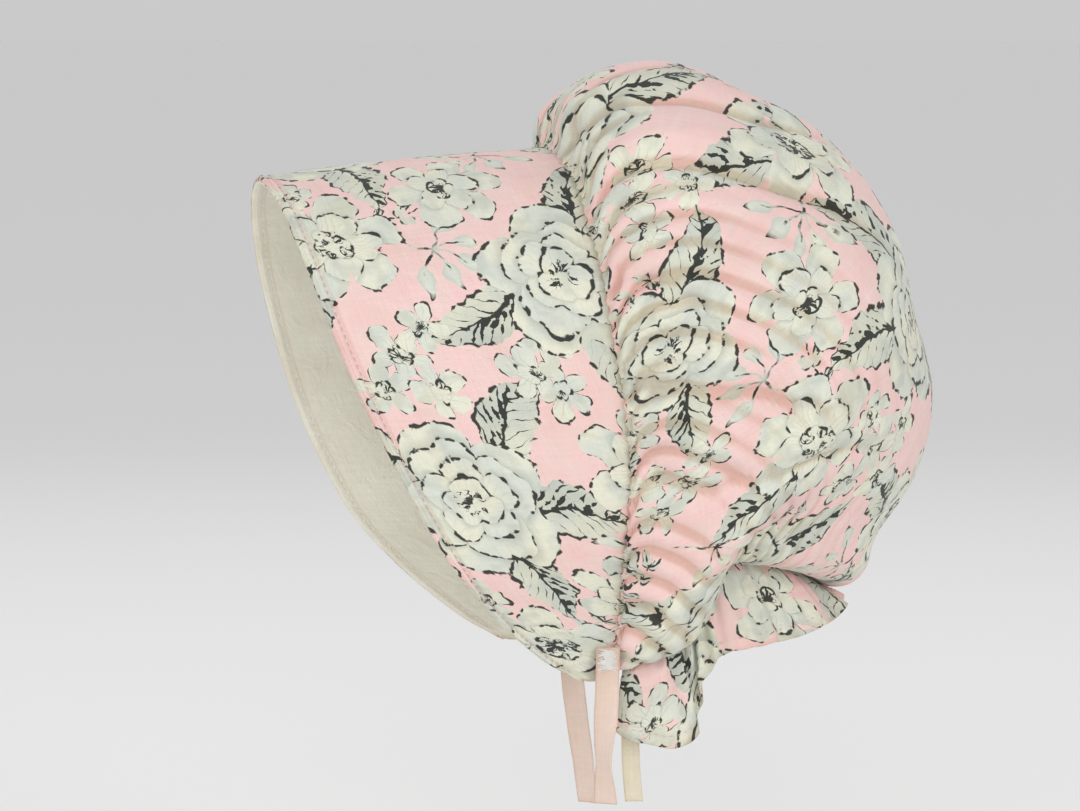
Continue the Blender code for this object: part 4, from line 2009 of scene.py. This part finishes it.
@dataclass
class Crown:
    """The puffed crown, gathered onto the brim and drawn in at the neck, with its sweeping folds."""

    wardrobe: Wardrobe
    brim: Brim
    columns: int = 409
    rows: int = 117
    seam_crowding: float = 2.6
    seam_crowding_reach: float = 0.07
    casing_crowding: float = 1.6
    casing_crowding_reach: float = 0.08
    cloth: float = 0.6
    seam_gap: float = 1.05
    seam_depth: float = 0.9
    leaves_seam: float = 0.30
    turns_in: float = 0.45
    reaches_casing: float = 0.86
    fullness: float = 0.8
    ridge_height: float = 0.6
    ridge_offset: float = 1.7
    tuck_depth: float = 1.4
    tuck_forward: float = 1.2
    tucked_share: float = 0.012
    lumps: tuple[Lumps, ...] = (Lumps(0.9, 34.0, 1.0), Lumps(0.35, 13.0, 5.0))
    seam_pleats: list[Pleat] = field(
        default_factory=lambda: scatter_pleats(11, 96, (0.020, 0.085), (0.5, 1.15), 0.0055)
    )
    casing_pleats: list[Pleat] = field(
        default_factory=lambda: scatter_pleats(23, 64, (0.014, 0.045), (0.3, 0.8), 0.0065)
    )
    long_pleats: list[Pleat] = field(
        default_factory=lambda: scatter_pleats(37, 38, (0.10, 0.40), (0.8, 2.0), 0.013)
    )
    gathering: Gathering = field(
        default_factory=lambda: Gathering(
            seam=0.090, casing=0.012, reach=38.0, freedom=5.0, slack=0.008, steps=(2, 4),
            lumps=Lumps(0.9, 36.0, 2.0),
        )
    )
    hollow_reach: int = 3
    hollow_full: float = 0.7
    edge_shade: float = 0.6
    seam_shade_reach: float = 0.010
    casing_shade_reach: float = 0.02
    print_pole: tuple[float, float, float] = (0.21, 0.78, 0.59)
    print_radius: float = 83.0
    print_middle: tuple[float, float, float] = (0.0, 8.0, -104.0)
    print_shift: tuple[float, float] = (0.004, 0.066)

    def fan(self, across: Array, along: Array) -> Array:
        """The crown's plain form, a fan of arches, as in the solids.

        Args:
            across: Places across.
            along: Places along, 0 at the brim's seam and 1 at the casing.

        Returns:
            The points of the form.
        """
        side, span = np.sign(across), np.abs(across)
        seam_x, _, seam_z = BRIM_TABLE.at(span)[3:]
        back, up, swell = SECTION_TABLE.at(along)
        height = np.maximum((seam_z - PIVOT_Z) / CROWN_SECTIONS[0].up, 0.0)
        spread = np.sin(np.pi * np.minimum(span, 1.0)) ** self.fullness
        return on_side(side, seam_x + swell * spread, PIVOT_Y + height * back, PIVOT_Z + height * up)

    def form(self, across: Array, along: Array) -> Array:
        """The crown before its folds: the fan, drawn to the brim's seam and to the casing.

        Args:
            across: Places across.
            along: Places along.

        Returns:
            The points of the form.
        """
        side, span = np.sign(across), np.abs(across)
        seam_x, seam_y, seam_z = BRIM_TABLE.at(span)[3:]
        seam = on_side(side, seam_x, seam_y + self.seam_gap, seam_z - self.seam_depth)
        casing = on_side(side, *RUFFLE_TABLE.at(span)[1:4])
        to_seam = (1.0 - ease(along, 0.0, self.leaves_seam))[..., None]
        to_casing = ease(along, self.turns_in, self.reaches_casing)[..., None]
        first, last = self.fan(across, np.zeros_like(along)), self.fan(across, np.ones_like(along))
        return self.fan(across, along) + (seam - first) * to_seam + (casing - last) * to_casing

    def fold_relief(self, across: Array, along: Array) -> Array:
        """Add up the sweeping folds, each with a sharp line in its crease.

        Args:
            across: Places across.
            along: Places along.

        Returns:
            How far they move the crown, in millimetres.
        """
        relief = np.zeros_like(along)
        for fold in CROWN_FOLDS:
            way = (along - fold.start_along) / (fold.end_along - fold.start_along)
            path = fold.start_across + (fold.end_across - fold.start_across) * way
            path = path + fold.bow * 4.0 * way * (1.0 - way)
            fade = ease(way, 0.0, 0.15) * (1.0 - ease(way, 0.65, 1.0))
            offset = (np.abs(across) - np.abs(path)) / fold.width
            crease = self.ridge_height * bell(offset + self.ridge_offset) - valley(offset)
            relief += np.where(across * path > 0, fold.depth * fade * crease, 0.0)
        return relief

    def relief(self, across: Array, along: Array) -> Array:
        """Add up folds, gathers and the cloth's small unevenness.

        Args:
            across: Places across.
            along: Places along.

        Returns:
            How far they move the crown from its form, in millimetres.
        """
        held = ease(along, 0.0, 0.03) * (1.0 - ease(along, 0.965, 1.0))
        large = self.fold_relief(across, along) + uneven(self.form(across, along), *self.lumps)
        seam = pleat_relief(self.seam_pleats, across, along) * ease(along, 0.0, self.tucked_share)
        casing = pleat_relief(self.casing_pleats, across, 1.0 - along)
        drawn = pleat_relief(self.long_pleats, across, along) * ease(along, 0.0, 0.05)
        return held * large + (seam + casing + drawn) * (1.0 - ease(along, 0.992, 1.0))

    def places(self) -> tuple[Array, Array]:
        """Space the crown's grid, closer together at the gathered edges.

        Returns:
            Places across and along it.
        """
        way = np.linspace(0.0, 1.0, 2000)
        density = 1.0 + self.seam_crowding * bell(way / self.seam_crowding_reach)
        density = density + self.casing_crowding * bell((1.0 - way) / self.casing_crowding_reach)
        count = np.concatenate([[0.0], np.cumsum((density[1:] + density[:-1]) / 2.0)])
        along = np.interp(np.linspace(0.0, 1.0, self.rows), count / count[-1], way)
        across, along = np.meshgrid(np.linspace(-1.0, 1.0, self.columns), along)
        return across, along

    def points(self, across: Array, along: Array, out: Array) -> Array:
        """Lay the crown's cloth, its first rows tucked between the brim's two layers.

        Args:
            across: Places across it.
            along: Places along it.
            out: The outward normals of its form.

        Returns:
            Its grid of points.
        """
        laid = self.form(across, along) + self.relief(across, along)[..., None] * out
        edge = np.ones_like(across)
        seam = self.brim.face(across, edge)
        inward = normals_of(self.brim.face, across, edge)
        forward = unit(self.brim.face(across, edge - 0.02) - seam)
        tucked = seam - inward * self.tuck_depth + forward * self.tuck_forward
        return laid + (tucked - laid[:1]) * (1.0 - ease(along, 0.0, self.tucked_share))[..., None]

    def print_places(self, points: Array) -> Array:
        """Lay the crown's print flat about its high back, so it crowds in towards the gathers.

        Args:
            points: The crown's grid.

        Returns:
            Places on the flat print, in metres.
        """
        pole = unit(np.array(self.print_pole))
        up = unit(np.cross([1.0, 0.0, 0.0], pole))
        side = np.cross(pole, up)
        rays = points - np.array(self.print_middle)
        reach = np.linalg.norm(rays, axis=-1)
        lean = np.arccos(np.clip((rays @ pole) / reach, -1.0, 1.0))
        spread = unit(np.stack([rays @ side, rays @ up], axis=-1))
        return spread * (self.print_radius * lean)[..., None] * MM + np.array(self.print_shift)

    def build(self) -> Array:
        """Build the crown's cloth.

        Returns:
            Its grid of points.
        """
        across, along = self.places()
        out = normals_of(self.form, across, along)
        points = self.points(across, along, out)
        points = self.gathering.fold(points)
        # Painted shade: darker in the hollows of the folds and along both sewn edges.
        painted_shade = hollows(points, out, self.hollow_reach) / self.hollow_full
        painted_shade = painted_shade + self.edge_shade * bell(along / self.seam_shade_reach)
        painted_shade = painted_shade + self.edge_shade * bell((1.0 - along) / self.casing_shade_reach)
        crown = ClothGrid(
            "crown_cloth", points, self.print_places(points), self.cloth, 0.0, np.clip(painted_shade, 0.0, 1.0)
        ).build([self.wardrobe.print, self.wardrobe.print_back])
        place_piece(crown, "printed_cotton", "crown")
        declare_sheet(points)
        return points


# Neck ruffle

@dataclass
class NeckRuffle:
    """The ruffle below the crown's casing, gathered at its top, with a turned and stitched hem.

    Its usual length and its half width, in millimetres, only set how wide the wear at its edges is.
    """

    wardrobe: Wardrobe
    columns: int = 301
    rows: int = 45
    cloth: float = 0.5
    casing_drop: float = 1.85
    casing_tuck: float = 0.035
    casing_lap: float = 3.2
    lap_place: float = 0.82
    lap_width: float = 0.11
    waves: float = 6.0
    wave_depth: float = 1.5
    wave_drift: float = 1.1
    wave_growth: float = 1.5
    hem_width: float = 5.0
    hem_lift: float = 0.35
    hem_step: float = 0.4
    stitch_margin: float = 0.9
    stitch_groove: float = 0.25
    stitch_pitch: float = 2.6
    stitch_length: float = 2.0
    stitch_thread: float = 0.30
    stitch_sink: float = 0.05
    lumps: Lumps = Lumps(0.5, 16.0, 7.0)
    pleats: list[Pleat] = field(
        default_factory=lambda: scatter_pleats(41, 76, (0.16, 0.75), (0.35, 0.9), 0.0075)
    )
    gathering: Gathering = field(
        default_factory=lambda: Gathering(
            seam=0.09, casing=0.02, reach=14.0, freedom=2.0, slack=0.01, steps=(4, 4),
            lumps=Lumps(0.9, 36.0, 5.0), free_end=True,
        )
    )
    usual_length: float = 22.0
    half_width: float = 110.0
    hem_wear_width: float = 1.6
    end_wear_width: float = 1.8
    casing_shade: float = 0.8
    casing_shade_reach: float = 0.06
    print_shift: tuple[float, float] = (0.020, 0.060)

    def form(self, across: Array, along: Array) -> Array:
        """The ruffle before its waves, its top lapped under the crown where the casing is steep.

        Args:
            across: Places across.
            along: Places along, 0 at the casing and 1 at the hem.

        Returns:
            The points of the form.
        """
        side, span = np.sign(across), np.abs(across)
        casing_x, casing_y, casing_z, hem_x, hem_y, hem_z, right_y, right_z = RUFFLE_TABLE.at(span)[1:]
        hem_y, hem_z = np.where(across < 0, right_y, hem_y), np.where(across < 0, right_z, hem_z)
        lap = self.casing_lap * bell((span - self.lap_place) / self.lap_width)
        tucked_x = casing_x * (1.0 - self.casing_tuck)
        casing = on_side(side, tucked_x, casing_y - lap, casing_z - self.casing_drop)
        hem = on_side(side, hem_x, hem_y, hem_z)
        return casing + (hem - casing) * along[..., None]

    def relief(self, across: Array, along: Array) -> Array:
        """Add up the waves, the gathers and the hem.

        Args:
            across: Places across.
            along: Places along.

        Returns:
            How far they move the ruffle from its form, in millimetres.
        """
        swing = 2.0 * np.pi * self.waves * across + self.wave_drift * np.sin(6.0 * across)
        wave = self.wave_depth * np.sin(swing) * along**self.wave_growth
        whole = self.form(across, np.ones_like(along)) - self.form(across, np.zeros_like(along))
        from_hem = (1.0 - along) * np.linalg.norm(whole, axis=-1)
        step = ease(from_hem, self.hem_width - self.hem_step, self.hem_width + self.hem_step)
        hem = self.hem_lift * (1.0 - step)
        from_stitches = from_hem - self.hem_width + self.stitch_margin
        groove = -self.stitch_groove * bell(from_stitches / self.hem_step)
        small = uneven(self.form(across, along), self.lumps) * ease(along, 0.0, 0.2)
        return wave + pleat_relief(self.pleats, across, along) + hem + groove + small

    def face(self, across: Array, along: Array) -> Array:
        """The ruffle's middle surface."""
        out = normals_of(self.form, across, along)
        return self.form(across, along) + self.relief(across, along)[..., None] * out

    def hem_stitches(self, points: Array) -> None:
        """Sew the hem's stitches onto the ruffle's outer face.

        Args:
            points: The ruffle's grid, without its first and last columns.
        """
        way = way_down(thread_lengths(points)[1])
        out = grid_normals(points)
        places = way[-1] - self.hem_width + self.stitch_margin

        def read(grid: Array) -> Array:
            """Read a grid's values along the line of stitches."""
            return np.array([
                [np.interp(place, down, column) for column in values.T]
                for place, down, values in zip(places, way.T, np.moveaxis(grid, 1, 0))
            ])

        line = read(points + out * (self.cloth / 2.0 - self.stitch_sink))
        row = stitch_line(line, read(out), self.stitch_pitch, self.stitch_length)
        sew("hem_stitches", row, self.stitch_thread, self.wardrobe.pink_thread, "printed_cotton")

    def build(self) -> None:
        """Build the ruffle's cloth and its hem stitches."""
        places = np.linspace(-1.0, 1.0, self.columns), np.linspace(0.0, 1.0, self.rows)
        across, along = np.meshgrid(*places)
        points = self.face(across, along)
        points = self.gathering.fold(points)
        hem = bell((1.0 - along) * self.usual_length / self.hem_wear_width)
        ends = bell((1.0 - np.abs(across)) * self.half_width / self.end_wear_width)
        # Painted shade along the top, below the crown's edge.
        shade = self.casing_shade * bell(along / self.casing_shade_reach)
        ruffle = ClothGrid(
            "neck_ruffle_cloth", points, flat_places(points) + np.array(self.print_shift),
            self.cloth, 0.0, shade, np.maximum(hem, ends),
        ).build([self.wardrobe.print, self.wardrobe.print_back])
        place_piece(ruffle, "printed_cotton", "neck_ruffle")
        declare_sheet(points)
        self.hem_stitches(points[:, 1:-1])


# Ribbons and the bar of stitches

@dataclass
class Ribbon:
    """A flat hanging ribbon, slightly cupped, with firm edges and a bare cut end."""

    node: str
    places: tuple[RibbonPlace, ...]
    width: float
    material: Material
    slot: str
    columns: int = 12
    rows: int = 90
    route_points: int = 40
    cloth: float = 0.55
    cup: float = 0.35
    flutter: float = 0.12
    flutter_pace: float = 23.0
    edge_wear_width: float = 1.2
    cut_end: float = 0.02
    top_shade: float = 0.15

    def face(self, across: Array, along: Array) -> Array:
        """The ribbon's middle surface.

        Args:
            across: Places across.
            along: Places along.

        Returns:
            Its points.
        """
        x, y, z, turn = SmoothTable(self.places, (0, 1, 2)).at(along)
        turn = np.radians(turn)
        half = across * self.width / 2.0
        flutter = self.flutter * np.sin(along * self.flutter_pace + across)
        cupped = self.cup * (across**2 - 0.5) + flutter
        x = x + half * np.sin(turn) + cupped * np.cos(turn)
        y = y + half * np.cos(turn) - cupped * np.sin(turn)
        return np.stack([x, y, z], axis=-1)

    def build(self) -> None:
        """Build the ribbon."""
        places = np.linspace(-1.0, 1.0, self.columns), np.linspace(0.0, 1.0, self.rows)
        across, along = np.meshgrid(*places)
        points = self.face(across, along)
        sides = bell((1.0 - np.abs(across)) * self.width / self.edge_wear_width)
        edges = 0.5 * np.maximum(sides, bell((1.0 - along) / self.cut_end))
        # Painted shade towards the top of the ribbon.
        shade = 0.9 * bell(along / self.top_shade)
        ribbon = ClothGrid(
            f"{self.node}_cloth", points, flat_places(points), self.cloth, 0.0, shade, edges
        ).build([self.material])
        place_piece(ribbon, self.slot, self.node)
        way = np.linspace(0.0, 1.0, self.route_points)
        path = np.stack(SmoothTable(self.places, (0, 1, 2)).at(way)[:3], axis=-1) * MM
        self.width * MM


@dataclass
class BarTack:
    """The dense white stitches that hold the outer ribbon, and the loose thread end above them."""

    wardrobe: Wardrobe
    ribbon: Ribbon
    brim: Brim
    crown_points: Array
    stitches: int = 34
    top: float = -191.4
    height: float = 6.4
    half_width: float = 3.5
    slant: float = 0.9
    slant_spread: float = 0.35
    reach_spread: tuple[float, float] = (-0.5, 0.3)
    lift: float = 0.10
    lift_spread: float = 0.22
    thread: float = 0.46
    loose_thread: float = 0.42
    loose_lift: float = 0.5
    loose_overlap: float = 0.3
    loose: tuple[tuple[float, float], ...] = (
        (-29.4, -185.3), (-28.0, -185.6), (-26.6, -185.2), (-25.2, -184.5), (-23.8, -184.0), (-22.6, -183.3),
    )
    near: float = 0.9

    def on_cloth(self, y: float, z: float) -> Array:
        """Find the outermost place of brim and crown on the left.

        Args:
            y: Its depth.
            z: Its height.

        Returns:
            The place, just clear of the cloth.
        """
        across, along = np.meshgrid(np.linspace(0.6, 1.0, 160), np.linspace(0.0, 1.0, 120))
        cloth = np.vstack([self.brim.face(across, along).reshape(-1, 3), self.crown_points.reshape(-1, 3)])
        near = cloth[np.hypot(cloth[:, 1] - y, cloth[:, 2] - z) < self.near]
        return np.array([near[:, 0].max() + self.loose_lift, y, z])

    def bar(self) -> Stitches:
        """Lay the bar's stitches, crowded and uneven.

        Returns:
            The stitches.
        """
        draw = np.random.default_rng(5)
        first = self.ribbon.places[0]
        middle = self.top - self.height * np.linspace(0.0, 1.0, self.stitches)
        slant = np.where(np.arange(self.stitches) % 2, self.slant, -self.slant)
        slant = slant + draw.uniform(-self.slant_spread, self.slant_spread, self.stitches)
        reach = self.half_width + draw.uniform(*self.reach_spread, (2, self.stitches))
        face = first.x + self.ribbon.cloth / 2.0
        out = face + self.lift + self.lift_spread * draw.random(self.stitches)
        starts = np.stack([out, first.y - reach[0], middle - slant], axis=-1)
        ends = np.stack([out, first.y + reach[1], middle + slant], axis=-1)
        return Stitches(starts, ends, np.tile([1.0, 0.0, 0.0], (self.stitches, 1)))

    def build(self) -> None:
        """Sew the bar and lay the thread end."""
        bar = self.bar()
        sew("bar_tack", bar, self.thread, self.wardrobe.thread, "lining_cotton")
        line = np.array([self.on_cloth(y, z) for y, z in self.loose])
        lap = unit(np.diff(line, axis=0)) * self.loose_overlap
        loose = Stitches(line[:-1] - lap, line[1:] + lap, bar.ups[: len(lap)])
        sew("loose_thread", loose, self.loose_thread, self.wardrobe.thread, "lining_cotton")


# Making the bonnet

def main() -> None:
    """Build the studio and the bonnet, the camera and the ribbons first."""
    logging.basicConfig(level=logging.INFO, format="%(name)s: %(message)s")
    Studio().build()
    wardrobe = Wardrobe(Effects())
    pink, cream = wardrobe.pink_ribbon, wardrobe.cream_ribbon
    outer_left = Ribbon("outer_left_ribbon", OUTER_LEFT_RIBBON, 8.0, pink, "pink_ribbon")
    inner_left = Ribbon("inner_left_ribbon", INNER_LEFT_RIBBON, 6.0, cream, "cream_ribbon")
    inner_right = Ribbon("inner_right_ribbon", INNER_RIGHT_RIBBON, 8.0, pink, "pink_ribbon")
    for ribbon in (outer_left, inner_left, inner_right):
        ribbon.build()
    brim = Brim(wardrobe)
    brim.build()
    crown_points = Crown(wardrobe, brim).build()
    NeckRuffle(wardrobe).build()
    BarTack(wardrobe, outer_left, brim, crown_points).build()


if __name__ == "__main__":
    main()
